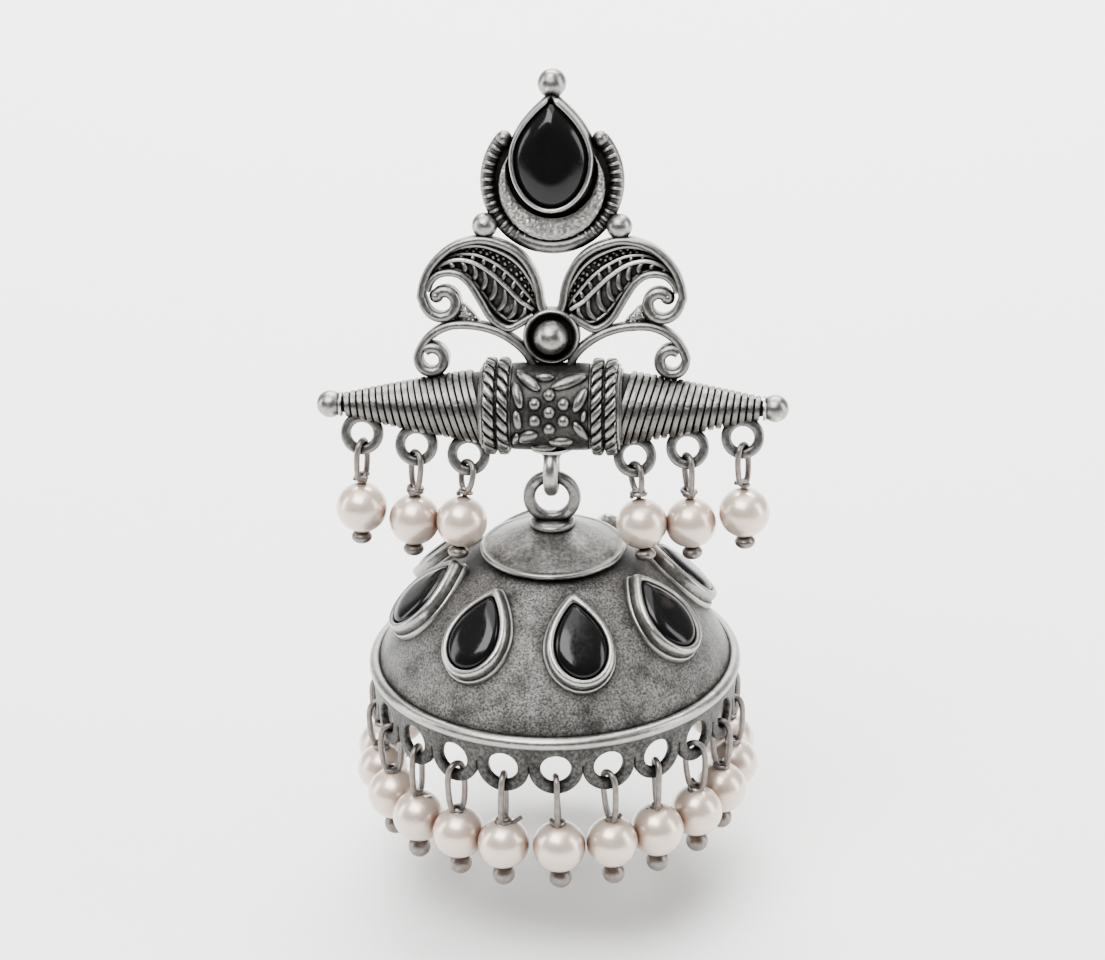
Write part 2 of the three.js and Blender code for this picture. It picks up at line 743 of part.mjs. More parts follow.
function domeShell() {
  const bezelOutline = pear(domeBezelHalfWidth, domeBezelFoot, domeBezelPoint, 0);
  const recessOutline = pear(domeBezelHalfWidth, domeBezelFoot, domeBezelPoint, domeBezelWall);
  const seats = Array.from({ length: domeStones }, (_, i) => stoneSeat(i));
  const { outer, inner } = shellFaces();
  const openingZ = skirtFootZ - 2 * domeBezelHeight;
  const foot = inner[inner.length - 1][0];
  const hollow = [[0, crownTopZ - domeWall], ...inner, [foot, openingZ], [0, openingZ]];
  const wall = [...outer, ...inner.reverse(), outer[0]];
  const cavity = turned(hollow, domeSteps).rotateZ(facetTurn);
  let shell = solidOf(turned(wall, domeSteps).rotateZ(facetTurn));
  for (const seat of seats) {
    shell = shell.add(solidOf(slab(bezelOutline, -domeBezelSink, domeBezelHeight).applyMatrix4(seat)));
  }
  for (const seat of seats) {
    shell = shell.subtract(solidOf(slab(recessOutline, domeStoneFloor, bezelRecessTop).applyMatrix4(seat)));
  }
  shell = shell.subtract(solidOf(cavity));
  return shell.add(fringeBand());
}

// The cap with its collar and ring, held by a plain rivet through the crown
function domeCap() {
  const rivetFoot = crownTopZ - domeWall - rivetHeadGap;
  const cap = turned(
    [
      [0, rivetFoot - rivetHeadThickness],
      [rivetHeadRadius, rivetFoot - rivetHeadThickness],
      [rivetHeadRadius, rivetFoot],
      [rivetRadius, rivetFoot],
      [rivetRadius, capTopZ - capThickness],
      [capRadius - 0.15, capEdgeZ - capThickness / 2],
      [capRadius, capEdgeZ],
      [capRadius - 0.1, capEdgeZ + capThickness / 2],
      [collarRadius, capTopZ],
      [collarRadius, collarTopZ - 0.12],
      [collarRadius - 0.15, collarTopZ],
      [0, collarTopZ],
    ],
    capSteps,
  );
  const ring = new THREE.TorusGeometry(domeRingRadius, domeRingWire / 2, loopSides, loopSteps);
  ring.rotateX(Math.PI / 2);
  return joined([cap, moved(ring, 0, 0, domeRingMiddleZ)]);
}

function domeStone(index) {
  const inset = domeBezelWall + stoneClearance;
  const outline = pear(domeBezelHalfWidth, domeBezelFoot, domeBezelPoint, inset);
  const bottom = domeStoneFloor + stoneClearance;
  const geometry = stone(outline, bottom, domeStoneHeight, domeStoneChamfer, stoneSteps);
  return geometry.applyMatrix4(stoneSeat(index));
}

// A drop hangs from the middle of its eye's top wire, at the origin, straight down along -Z
function eyePieces(eyeLength, yaw) {
  const straight = eyeLength - pinWire - 2 * eyeHalfWidth;
  const eye = link(eyeHalfWidth, pinWire, straight);
  const middle = -eyeHalfWidth - straight / 2;
  return moved(eye.rotateZ(yaw), 0, 0, middle);
}

function fringeDrop(yaw) {
  const eyeFoot = -(fringeEyeLength - pinWire);
  const pearlZ = eyeFoot - fringePearlRadius + 0.1;
  const tipZ = pearlZ - fringePearlRadius - 0.92 * tipBallRadius;
  const bead = (radius, middle, from, to, rows) =>
    Array.from({ length: rows + 1 }, (_, i) => {
      const angle = radians(from + ((to - from) * i) / rows);
      return [radius * Math.sin(angle), middle + radius * Math.cos(angle)];
    });
  const pearl = bead(fringePearlRadius, pearlZ, 0, 172, beadRows);
  const profile = [...pearl, ...bead(tipBallRadius, tipZ, 22, 180, tipRows)];
  profile[0][0] = 0;
  profile[profile.length - 1][0] = 0;
  return joined([eyePieces(fringeEyeLength, yaw), turned(profile, beadSides)]);
}

function barPin(eyeLength, yaw) {
  const eyeFoot = -(eyeLength - pinWire);
  const nubZ = barPearlMiddle(eyeLength) - barPearlRadius - barNubRadius - pearlBoreGap;
  const shaftLength = eyeFoot - nubZ;
  const shaft = new THREE.CylinderGeometry(pinWire / 2, pinWire / 2, shaftLength, 6).rotateX(Math.PI / 2);
  return joined([
    eyePieces(eyeLength, yaw),
    moved(shaft, 0, 0, (eyeFoot + nubZ) / 2),
    ball(barNubRadius, 0, 0, nubZ, 6, 3),
  ]);
}

function barPearlMiddle(eyeLength) {
  return -(eyeLength - pinWire / 2) - pearlBoreGap - barPearlRadius;
}

function barPearl(eyeLength) {
  const middle = barPearlMiddle(eyeLength);
  const bore = pinWire / 2 + pearlBoreGap;
  const from = Math.asin(bore / barPearlRadius);
  const profile = Array.from({ length: beadRows + 1 }, (_, i) => {
    const angle = from + (Math.PI - 2 * from) * (i / beadRows);
    return [barPearlRadius * Math.sin(angle), middle - barPearlRadius * Math.cos(angle)];
  });
  return turned([...profile, profile[0]], beadSides);
}

// Assembly
const earring = new THREE.Group();
const leaning = new THREE.Group();
leaning.rotation.x = Math.PI / 2 - lean;
leaning.add(named("stud_stone", studStone(), blackStone));
leaning.add(named("ear_post", earPost(), pinMetal));
earring.add(leaning);
earring.add(named("top_casting", topCasting(), oxidisedSilver));

barRingsAcross.forEach((across, i) => {
  for (const side of [-1, 1]) {
    const [x, up, out] = barRingMiddle(across);
    const ringFoot = worldOf([side * x, up - barRingHole - barRingWire / 2, out]);
    const hanging = new THREE.Group();
    hanging.position.copy(ringFoot);
    hanging.position.z += barRingWire / 2 + pinWire / 2 + hangingClearance;
    hanging.rotation.set(-radians(barDropForwardDegrees[i]), -side * radians(barDropOutwardDegrees[i]), 0);
    const label = (side < 0 ? "left_" : "right_") + (i + 1);
    const yaw = Math.PI / 2 + side * radians(18 - 14 * i);
    hanging.add(named("bar_pin_" + label, barPin(barEyeLengths[i], yaw), pinMetal));
    hanging.add(named("bar_pearl_" + label, barPearl(barEyeLengths[i]), pearlLustre));
    earring.add(hanging);
  }
});

const hangingDome = new THREE.Group();
hangingDome.position.copy(pivot);
hangingDome.add(named("dome", domeShell(), oxidisedSilver));
hangingDome.add(named("dome_cap", domeCap(), oxidisedSilver));
for (let i = 0; i < domeStones; i++) {
  hangingDome.add(named("dome_stone_" + (i + 1), domeStone(i), blackStone));
}
for (let i = 0; i < fringeCount; i++) {
  const { angle, x, y } = fringePlace(i);
  const yaw = angle + radians(24 * Math.sin(2.4 * i));
  const drop = named("fringe_drop_" + (i + 1), fringeDrop(yaw), pearlLustre);
  const topWireZ = fringeRingZ - 0.9 * fringeRingHole + pinWire / 2 + hangingClearance;
  drop.position.set(x, y, topWireZ);
  hangingDome.add(drop);
}
earring.add(hangingDome);

export default earring;
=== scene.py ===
"""A jhumka earring in oxidised silver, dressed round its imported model, with its finishes and studio."""

import math

import bmesh
import bpy
import numpy as np
from mathutils import Euler, Matrix, Vector


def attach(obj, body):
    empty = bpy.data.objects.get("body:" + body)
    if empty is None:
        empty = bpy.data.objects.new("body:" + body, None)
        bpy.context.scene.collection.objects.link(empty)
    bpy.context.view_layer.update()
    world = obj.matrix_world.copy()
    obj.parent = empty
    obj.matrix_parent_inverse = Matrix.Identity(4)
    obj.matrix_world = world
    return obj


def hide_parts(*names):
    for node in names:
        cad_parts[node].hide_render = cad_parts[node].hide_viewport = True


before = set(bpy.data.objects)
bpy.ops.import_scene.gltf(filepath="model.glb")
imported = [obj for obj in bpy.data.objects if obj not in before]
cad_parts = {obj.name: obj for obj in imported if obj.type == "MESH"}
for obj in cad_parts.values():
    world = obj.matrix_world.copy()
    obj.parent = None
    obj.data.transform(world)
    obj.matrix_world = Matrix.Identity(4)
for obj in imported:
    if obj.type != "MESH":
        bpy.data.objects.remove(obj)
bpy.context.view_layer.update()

bl_info = {
    "name": "Jhumka Earring",
    "version": (1, 0, 0),
    "blender": (4, 5, 0),
    "location": "View3D > Sidebar > Jhumka",
    "description": "Builds a jhumka earring piece by piece, with its finishes and its studio",
    "category": "Add Mesh",
}

MM = 0.001
TAU = 2 * math.pi
LEAN = math.radians(15)
UP_OUT = np.array([0.0, 0.0, 1.0])
FACE_ON = ((1, 0, 0), (0, 1, 0))
ROUND_BAR = ((0, 1, 0), (0, 0, 1))

# Sizes shared with the CAD, in millimetres and degrees. A pear is half its width, its foot and its point;
# the spindle is its start, its tip and the radius at each. The dome's sizes are counted from its pivot.
RING_MIDDLE, RING_WIRE, RING_END = 5.02, 1.16, 41.5
STUD = (3.22, 4.06, 4.93)
STUD_UP = 1.73
LEAF_SPAN, LEAF_HEIGHT, LEAF_CURL = 10.15, 6.2, 1.78
MIDDLE_BALL = (5.186, -3.42)
LEAF_TOP = -4.507
CUP_UP, CUP_RADIUS, CUP_BALL = -11.907, 2.2, 1.33
SCROLL_SPAN, SCROLL_CURL, SCROLL_RISE = 10.4, 1.12, 2.7
BAR_UP, BAR_OUT, BAR_RADIUS, BAR_HALF = -17.407, 1.0, 3.45, 3.1
ROPE_WIDTH = 1.05
SPINDLE = (5.2, 16.45, 2.98, 0.85)
BAR_RINGS = (6.47, 10.55, 14.8)
RING_HOLE, RING_BAR_WIRE, RING_SINK = 0.88, 0.8, 0.62
BAR_BOTTOM = np.array([0.0, -6.364, -19.888])
LOOP_MIDDLE = np.array([0.0, -6.904, -21.288])
PIVOT = np.array([0.0, -6.904, -21.8575])
DOME_RING = 1.78
COLLAR_Z, CAP_Z, CAP_EDGE_Z, CAP_RADIUS = -3.68, -4.13, -6.08, 5.7
CROWN_Z, DOME_WALL = -4.68, 0.7
SKIRT = ((5.35, -6.48), (11.35, -9.38), (14.05, -15.48))
RIM_RADIUS, RIM_Z = 14.3, -15.78
STONES, STONE_TURN, STONE_PLACE = 8, -75.5, 0.43
DOME_PEAR = (2.6, 3.0, 4.6)
FRINGE, FRINGE_TURN, FRINGE_RADIUS, FRINGE_HOLE_Z = 22, -86.3, 14.3, -17.94
FRINGE_HOLE, FRINGE_OUTER, FRINGE_THICK, FRINGE_DROP = 1.18, 2.09, 0.6, 2.16
PEARL_RADIUS, TIP_BALL, PIN_WIRE, EYE_HALF = 1.95, 0.88, 0.46, 0.84
FRINGE_EYE, BAR_EYES = 4.75, (2.95, 3.75, 3.75)
BAR_FORWARD, BAR_OUTWARD = (13, 5, 4), (7, 3, 2)


# Mesh helpers
def stand(places):
    """Places in the leaning casting, as across, up and out, turned to world places."""
    across, up, out = np.asarray(places, float).reshape(-1, 3).T
    y = up * math.sin(LEAN) - out * math.cos(LEAN)
    z = up * math.cos(LEAN) + out * math.sin(LEAN)
    return np.column_stack([across, y, z])


def grid(rows, columns, close_rows=False, close_columns=True):
    """Quads between rows of places."""
    i = np.arange(rows if close_rows else rows - 1)
    j = np.arange(columns if close_columns else columns - 1)
    a, b = np.meshgrid(i, j, indexing="ij")
    next_a, next_b = (a + 1) % rows, (b + 1) % columns
    corners = [a * columns + b, a * columns + next_b, next_a * columns + next_b, next_a * columns + b]
    return np.stack(corners, -1).reshape(-1, 4).tolist()


class Form:
    """Places and faces in millimetres, gathered into one mesh."""

    def __init__(self):
        self.places, self.faces, self.count = [], [], 0

    def add(self, part, move=None, mirror=False):
        """Adds a (places, faces) pair, moved or on the other side of the middle."""
        places, faces = part
        places = np.array(places, float).reshape(-1, 3)
        if mirror:
            places[:, 0] *= -1
        if move is not None:
            places = places + np.asarray(move, float)
        self.faces += [[i + self.count for i in face] for face in faces]
        self.places.append(places)
        self.count += len(places)
        return self

    def mirrored(self):
        """Adds a copy on the other side of the middle."""
        return self.add((self.all_places(), list(self.faces)), mirror=True)

    def all_places(self):
        """Every place in one list."""
        return np.vstack(self.places)


def stacked(rows):
    """A solid through rows of places, closed by its first and its last row."""
    count = len(rows[0])
    last = (len(rows) - 1) * count
    return np.vstack(rows), grid(len(rows), count) + [list(range(count)), list(range(last, last + count))]


def sweep(line, section, closed=False, up=None):
    """A solid swept along a line, from (side, rise) pairs, one list for all places or one each."""
    line = np.asarray(line, float)
    count = len(line)
    ahead = np.roll(line, -1, 0) if closed else np.vstack([line[1:], line[-1:]])
    behind = np.roll(line, 1, 0) if closed else np.vstack([line[:1], line[:-1]])
    along = ahead - behind
    along /= np.linalg.norm(along, axis=1, keepdims=True)
    if up is None:
        side = np.zeros_like(line)
        start = np.cross(along[0], (0.31, 0.22, 0.93))
        side[0] = start / np.linalg.norm(start)
        for i in range(1, count):
            carried = side[i - 1] - along[i] * np.dot(side[i - 1], along[i])
            side[i] = carried / np.linalg.norm(carried)
    else:
        side = np.cross(along, np.broadcast_to(up, line.shape))
        side /= np.linalg.norm(side, axis=1, keepdims=True)
    rise = np.cross(side, along)
    section = np.asarray(section, float)
    if section.ndim == 2:
        section = np.broadcast_to(section, (count,) + section.shape)
    places = line[:, None] + section[..., :1] * side[:, None] + section[..., 1:] * rise[:, None]
    width = section.shape[1]
    faces = grid(count, width, close_rows=closed)
    if not closed:
        faces += [list(range(width)), list(range((count - 1) * width, count * width))]
    return places.reshape(-1, 3), faces


def round_section(sides, wide=1.0, deep=1.0):
    """A round or oval section."""
    angle = np.linspace(0, TAU, sides, endpoint=False)
    return np.column_stack([wide * np.cos(angle), deep * np.sin(angle)])


def square_section(sides, wide, deep, power):
    """A rounded square, for flat wire and cut rings; the lower the power, the squarer."""
    angle = np.linspace(0, TAU, sides, endpoint=False)
    cosine, sine = np.cos(angle), np.sin(angle)
    return np.column_stack(
        [wide * np.sign(cosine) * np.abs(cosine) ** power, deep * np.sign(sine) * np.abs(sine) ** power]
    )


def tube(line, radius, sides, closed=False, up=None):
    """A round wire; the radius is one number or one for each place."""
    radii = np.broadcast_to(np.asarray(radius, float), (len(line),))
    return sweep(line, round_section(sides)[None] * radii[:, None, None], closed, up)


def strip_section(width, height):
    """A flat wire on edge: square foot, rounded top."""
    half = width / 2
    angle = np.linspace(0, math.pi, 7)
    crown = np.column_stack([half * np.cos(angle), height - half * 0.8 + half * 0.8 * np.sin(angle)])
    return np.vstack([[half, 0.0], crown, [-half, 0.0]])


def widening(width, height, count, growth):
    """Strip sections that grow wider over the last third of a line, as a scroll's curl does."""
    share = np.clip((np.linspace(0, 1, count) - 0.66) / 0.34, 0, 1)
    return np.stack([strip_section(width * (1 + (growth - 1) * s), height) for s in share])


def turned(profile, steps, closed=False):
    """A solid turned about Z from (radius, height) pairs."""
    profile = np.asarray(profile, float)
    angle = np.linspace(0, TAU, steps, endpoint=False)
    x = profile[:, :1] * np.cos(angle)
    y = profile[:, :1] * np.sin(angle)
    z = np.broadcast_to(profile[:, 1:], x.shape)
    faces = grid(len(profile), steps, close_rows=closed)
    if not closed:
        for row in (0, len(profile) - 1):
            if profile[row, 0] > 1e-6:
                faces.append(list(range(row * steps, (row + 1) * steps)))
    return np.stack([x, y, z], -1).reshape(-1, 3), faces


def bead(middle, axes, sides, rows):
    """A ball or a long bead; axes holds its three half axes."""
    axes = np.diag([axes] * 3) if np.isscalar(axes) else np.asarray(axes, float)
    polar = np.linspace(0, math.pi, rows + 1)[:, None]
    around = np.linspace(0, TAU, sides, endpoint=False)[None]
    wide = np.sin(polar)
    unit = np.stack(np.broadcast_arrays(wide * np.cos(around), wide * np.sin(around), np.cos(polar)), -1)
    return unit.reshape(-1, 3) @ axes + np.asarray(middle, float), grid(rows + 1, sides)


def circle(middle, radius, ways, steps, start=0.0, end=TAU, closed=True):
    """Places round a circle that is spanned by two ways."""
    first, second = np.asarray(ways, float)
    angle = np.linspace(start, end, steps, endpoint=not closed)[:, None]
    return np.asarray(middle, float) + radius * (np.cos(angle) * first + np.sin(angle) * second)


def smooth_line(knots, steps):
    """Evenly spaced places on a smooth line through the knots."""
    knots = np.asarray(knots, float)
    padded = np.vstack([knots[:1], knots, knots[-1:]])
    dense = []
    for i in range(len(knots) - 1):
        a, b, c, d = padded[i : i + 4]
        t = np.linspace(0, 1, 24, endpoint=False)[:, None]
        dense.append(
            0.5 * (2 * b + (c - a) * t + (2 * a - 5 * b + 4 * c - d) * t**2 + (3 * b - a - 3 * c + d) * t**3)
        )
    return even(np.vstack(dense + [knots[-1:]]), steps)


def even(line, steps):
    """The same line with evenly spaced places."""
    length = np.concatenate([[0], np.cumsum(np.linalg.norm(np.diff(line, axis=0), axis=1))])
    wanted = np.linspace(0, length[-1], steps + 1)
    return np.column_stack([np.interp(wanted, length, line[:, k]) for k in range(line.shape[1])])


def curl(middle, start, end, from_radius, to_radius, steps):
    """A flat curl between two angles in degrees, from one radius to another."""
    share = np.linspace(0, 1, steps + 1)
    angle = np.radians(start + (end - start) * share)
    radius = from_radius + (to_radius - from_radius) * np.sqrt(share)
    return np.column_stack([middle[0] + radius * np.cos(angle), middle[1] + radius * np.sin(angle)])


def at_height(line, out):
    """A flat line of (across, up) pairs at a height."""
    line = np.asarray(line, float)
    return np.column_stack([line, np.broadcast_to(np.asarray(out, float), (len(line),))])


def pear(shape, inset, steps, soften):
    """A pear outline with its widest place at the origin and its point upwards."""
    half, foot, point = shape
    high = point - inset / math.sin(math.atan(2 * half / point))
    angle = -math.pi * np.linspace(0, 1, steps + 1)
    low_half = np.column_stack([(half - inset) * np.cos(angle), (foot - inset) * np.sin(angle)])
    share = np.linspace(0, 1, steps + 1)[1:]
    rise = np.column_stack([-(half - inset) * (1 - share**2), high * share])
    outline = np.vstack([low_half, rise, (rise * (-1, 1))[-2::-1]])
    for _ in range(soften):
        outline = 0.5 * outline + 0.25 * (np.roll(outline, 1, 0) + np.roll(outline, -1, 0))
    return outline


def pear_wall(shape, section, steps, soften):
    """A bezel: a closed section of (inset, height) pairs taken round a pear."""
    rows = [at_height(pear(shape, inset, steps, soften), height) for inset, height in section]
    return np.vstack(rows), grid(len(rows), len(rows[0]), close_rows=True)


def pear_stone(shape, inset, levels, steps, soften):
    """A polished stone; levels holds (scale, height) pairs from its foot to its middle."""
    outline = pear(shape, inset, steps, soften)
    centre = np.array([0, 0.12 * shape[2]])
    return stacked([at_height(centre + (outline - centre) * scale, height) for scale, height in levels])


def ripple(places, pitch, seed):
    """Soft unevenness between -1 and 1, the same each run."""
    draw = np.random.default_rng(seed)
    total = np.zeros(len(places))
    for _ in range(7):
        way = draw.normal(size=3)
        way *= TAU / (pitch * draw.uniform(0.7, 1.5)) / np.linalg.norm(way)
        total += np.sin(places @ way + draw.uniform(0, TAU))
    return total / 4


def cut_flat(shape):
    """Cuts a leaning mesh off at its flat back and closes it."""
    every = shape.verts[:] + shape.edges[:] + shape.faces[:]
    level = {"plane_co": (0, 0, 0), "plane_no": (0, 0, 1)}
    bmesh.ops.bisect_plane(shape, geom=every, dist=1e-8, clear_inner=True, **level)
    open_edges = [edge for edge in shape.edges if edge.is_boundary]
    bmesh.ops.holes_fill(shape, edges=open_edges, sides=0)


def in_scene(name, held):
    """A new object that holds a mesh, a lamp or a camera."""
    thing = bpy.data.objects.new(name, held)
    bpy.context.scene.collection.objects.link(thing)
    return thing


def piece(name, form, body, finish_name, stands_for, sharp=42, leaning=False, place=None):
    """Makes one named object of a form, finished, riding on its body and standing for its nodes.

    sharp is the angle in degrees over which an edge stays hard, and place is the object's place in the world.
    """
    merge_reach = 0.0002 * MM
    shape = bmesh.new()
    mesh = bpy.data.meshes.new(name)
    mesh.from_pydata((form.all_places() * MM).tolist(), [], form.faces)
    shape.from_mesh(mesh)
    bmesh.ops.remove_doubles(shape, verts=shape.verts, dist=merge_reach)
    if leaning:
        cut_flat(shape)
    bmesh.ops.recalc_face_normals(shape, faces=shape.faces)
    if leaning:
        sine, cosine = math.sin(LEAN), math.cos(LEAN)
        turn = Matrix(((1, 0, 0), (0, sine, -cosine), (0, cosine, sine))).to_4x4()
        bmesh.ops.transform(shape, matrix=turn, verts=shape.verts)
    shape.to_mesh(mesh)
    shape.free()
    mesh.shade_smooth()
    mesh.set_sharp_from_angle(angle=math.radians(sharp))
    mesh.materials.append(finish(finish_name))
    thing = in_scene(name, mesh)
    if place is not None:
        thing.matrix_world = place
    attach(thing, body)
    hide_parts(*stands_for)


def cast(name, form, finish_name, sharp=42, leaning=True):
    """Makes a silver piece of the top casting."""
    piece(name, form, "top", finish_name, ("top_casting",), sharp, leaning)


def dome_part(name, form, finish_name, sharp=42, stands_for="dome"):
    """Makes a silver piece of the hanging dome."""
    piece(name, form, "hanging_dome", finish_name, (stands_for,), sharp)


# Finishes
def node(tree, kind, **values):
    """A shader node with its inputs or settings given by name."""
    made = tree.nodes.new("ShaderNode" + kind)
    for key, value in values.items():
        if key in made.inputs:
            made.inputs[key].default_value = value
        else:
            setattr(made, key, value)
    return made


def ramp(tree, source, stops):
    """A colour ramp fed by a socket; stops holds (place, grey or colour) pairs."""
    made = tree.nodes.new("ShaderNodeValToRGB")
    tree.links.new(source, made.inputs["Fac"])
    points = made.color_ramp.elements
    while len(points) < len(stops):
        points.new(0.5)
    for point, (where, tone) in zip(points, stops):
        point.position = where
        point.color = (tone, tone, tone, 1) if np.isscalar(tone) else (*tone, 1)
    return made.outputs["Color"]


def grains(tree, scale, detail, rough=0.6, stretch=(1, 1, 1)):
    """Noise measured in grains per millimetre."""
    where = node(tree, "TexCoord")
    sized = node(tree, "Mapping")
    sized.inputs["Scale"].default_value = tuple(s / MM for s in stretch)
    tree.links.new(where.outputs["Object"], sized.inputs["Vector"])
    made = node(tree, "TexNoise", Scale=scale, Detail=detail, Roughness=rough)
    tree.links.new(sized.outputs["Vector"], made.inputs["Vector"])
    return made.outputs["Fac"]


def sums(tree, operation, first, second, clamp=False):
    """One step of arithmetic on two sockets or numbers."""
    made = tree.nodes.new("ShaderNodeMath")
    made.operation = operation
    made.use_clamp = clamp
    for socket, value in zip(made.inputs, (first, second)):
        if isinstance(value, (int, float)):
            socket.default_value = value
        else:
            tree.links.new(value, socket)
    return made.outputs["Value"]


def blend_colours(tree, share, first, second, how="MIX"):
    """Two colours blended by a share; each may be a socket or a value."""
    made = tree.nodes.new("ShaderNodeMix")
    made.data_type = "RGBA"
    made.blend_type = how
    sockets = (made.inputs["Factor"], made.inputs["A"], made.inputs["B"])
    for socket, value in zip(sockets, (share, first, second)):
        if isinstance(value, bpy.types.NodeSocket):
            tree.links.new(value, socket)
        elif isinstance(value, (int, float)):
            socket.default_value = value
        else:
            socket.default_value = (*value[:3], 1)
    return made.outputs["Result"]


def relieved(tree, height, depth, below=None):
    """A normal that follows a height, with its depth in millimetres, laid over another normal."""
    made = node(tree, "Bump")
    made.inputs["Distance"].default_value = depth * MM
    tree.links.new(height, made.inputs["Height"])
    if below is not None:
        tree.links.new(below, made.inputs["Normal"])
    return made.outputs["Normal"]


def openness(tree, reach, samples, stops):
    """How open a place is within a reach in millimetres, as a ramp."""
    nearby = node(tree, "AmbientOcclusion", samples=samples)
    nearby.inputs["Distance"].default_value = reach * MM
    return ramp(tree, nearby.outputs["AO"], stops)


def finish_base(name):
    """A new material with its node tree and its surface shader."""
    made = bpy.data.materials.new(name)
    made.use_nodes = True
    tree = made.node_tree
    return made, tree, tree.nodes["Principled BSDF"]


def silver_finish(
    name, looks, bright=1.0, grain=3.0, grain_depth=0.03, blotch=0.35, reach=0.9, dull=0.0, speck=0.45,
    wear=1.7, worn_share=1.0,
):
    """Oxidised silver: dark in its recesses, worn bright on its edges, with cast grain.

    bright and wear multiply the clean metal's colour, grain counts grains to the millimetre, and grain_depth
    and reach are in millimetres; blotch, speck and worn_share run from 0 to 1.
    """
    made, tree, surface = finish_base(name)
    link = tree.links.new
    open_share = openness(tree, reach, 12, [(0.35, 0.0), (0.68, 0.22), (0.97, 1.0)])
    fine = grains(tree, grain, 5.0, 0.65)
    specks = ramp(tree, fine, [(0.36, speck), (0.5, 0.45 + 0.5 * speck), (0.62, 1.0)])
    clouds = ramp(tree, grains(tree, 0.45, 3.0, 0.55), [(0.3, 1.0 - blotch), (0.55, 1.0), (0.8, 1.0)])
    edges = node(tree, "NewGeometry")
    worn = ramp(tree, edges.outputs["Pointiness"], [(0.5, 0.0), (0.57, worn_share)])

    clean = tuple(min(1.0, c * bright) for c in looks.silver)
    polished = tuple(min(1.0, c * wear) for c in clean)
    tone = blend_colours(tree, open_share, looks.patina, clean)
    tone = blend_colours(tree, 1.0, tone, specks, "MULTIPLY")
    tone = blend_colours(tree, 1.0, tone, clouds, "MULTIPLY")
    rubbed = sums(tree, "MULTIPLY", worn, sums(tree, "MULTIPLY", open_share, 0.8))
    tone = blend_colours(tree, rubbed, tone, polished)
    link(tone, surface.inputs["Base Color"])
    surface.inputs["Metallic"].default_value = 1.0

    shine = sums(tree, "MULTIPLY", fine, 0.16)
    shine = sums(tree, "ADD", shine, 0.27 + dull)
    shine = sums(tree, "SUBTRACT", shine, sums(tree, "MULTIPLY", worn, 0.08))
    recess_dull = sums(tree, "MULTIPLY", sums(tree, "SUBTRACT", 1.0, open_share), 0.25)
    shine = sums(tree, "ADD", shine, recess_dull, clamp=True)
    link(shine, surface.inputs["Roughness"])
    grainy = relieved(tree, fine, grain_depth)
    link(relieved(tree, grains(tree, 0.8, 2.0), 0.05, grainy), surface.inputs["Normal"])
    return made


def stone_finish(name, looks):
    """Polished black stone with a faint cloud and a few fine scratches."""
    made, tree, surface = finish_base(name)
    tone = blend_colours(tree, grains(tree, 0.7, 4.0), looks.stone, tuple(1.8 * c for c in looks.stone))
    tree.links.new(tone, surface.inputs["Base Color"])
    scratches = grains(tree, 5.0, 2.0, 0.5, (1, 0.08, 1))
    tree.links.new(ramp(tree, scratches, [(0.35, 0.1), (0.7, 0.2)]), surface.inputs["Roughness"])
    surface.inputs["IOR"].default_value = 1.42
    surface.inputs["Specular IOR Level"].default_value = 0.3
    tree.links.new(relieved(tree, grains(tree, 0.5, 1.0), 0.02), surface.inputs["Normal"])
    return made


def pearl_finish(name, looks):
    """Ivory pearl lustre with a pinkish body, and a dark, warm painted shade where pearls meet other parts.
    """
    made, tree, surface = finish_base(name)
    tone = blend_colours(tree, grains(tree, 0.4, 3.0), looks.pearl, looks.pearl_shade)
    # Painted shade: the pearl's colour is darkened towards brown wherever another part comes within 1.6 mm of
    # it.
    painted_contact_shade = openness(tree, 1.6, 8, [(0.25, (0.34, 0.23, 0.18)), (0.97, (1.0, 1.0, 1.0))])
    tone = blend_colours(tree, 1.0, tone, painted_contact_shade, "MULTIPLY")
    tree.links.new(tone, surface.inputs["Base Color"])
    surface.inputs["Metallic"].default_value = 0.55
    shine = ramp(tree, grains(tree, 1.2, 2.0), [(0.3, 0.3), (0.7, 0.36)])
    tree.links.new(shine, surface.inputs["Roughness"])
    surface.inputs["Coat Weight"].default_value = 1.0
    surface.inputs["Coat Roughness"].default_value = 0.13
    surface.inputs["Subsurface Weight"].default_value = 0.1
    surface.inputs["Subsurface Radius"].default_value = (0.9, 0.6, 0.45)
    surface.inputs["Subsurface Scale"].default_value = 0.8 * MM
    tree.links.new(relieved(tree, grains(tree, 0.7, 2.0), 0.01), surface.inputs["Normal"])
    return made


def pin_finish(name, looks):
    """Dull drawn wire with a pinkish tarnish."""
    made, tree, surface = finish_base(name)
    open_share = openness(tree, 0.5, 8, [(0.2, 0.0), (0.8, 1.0)])
    tone = blend_colours(tree, open_share, tuple(0.25 * c for c in looks.pin), looks.pin)
    tarnish = ramp(tree, grains(tree, 1.1, 4.0), [(0.35, (0.72, 0.62, 0.56)), (0.6, (1.0, 1.0, 1.0))])
    tone = blend_colours(tree, 1.0, tone, tarnish, "MULTIPLY")
    tree.links.new(tone, surface.inputs["Base Color"])
    surface.inputs["Metallic"].default_value = 0.9
    shine = ramp(tree, grains(tree, 4.0, 3.0), [(0.3, 0.28), (0.7, 0.46)])
    tree.links.new(shine, surface.inputs["Roughness"])
    tree.links.new(relieved(tree, grains(tree, 5.0, 3.0), 0.02), surface.inputs["Normal"])
    return made


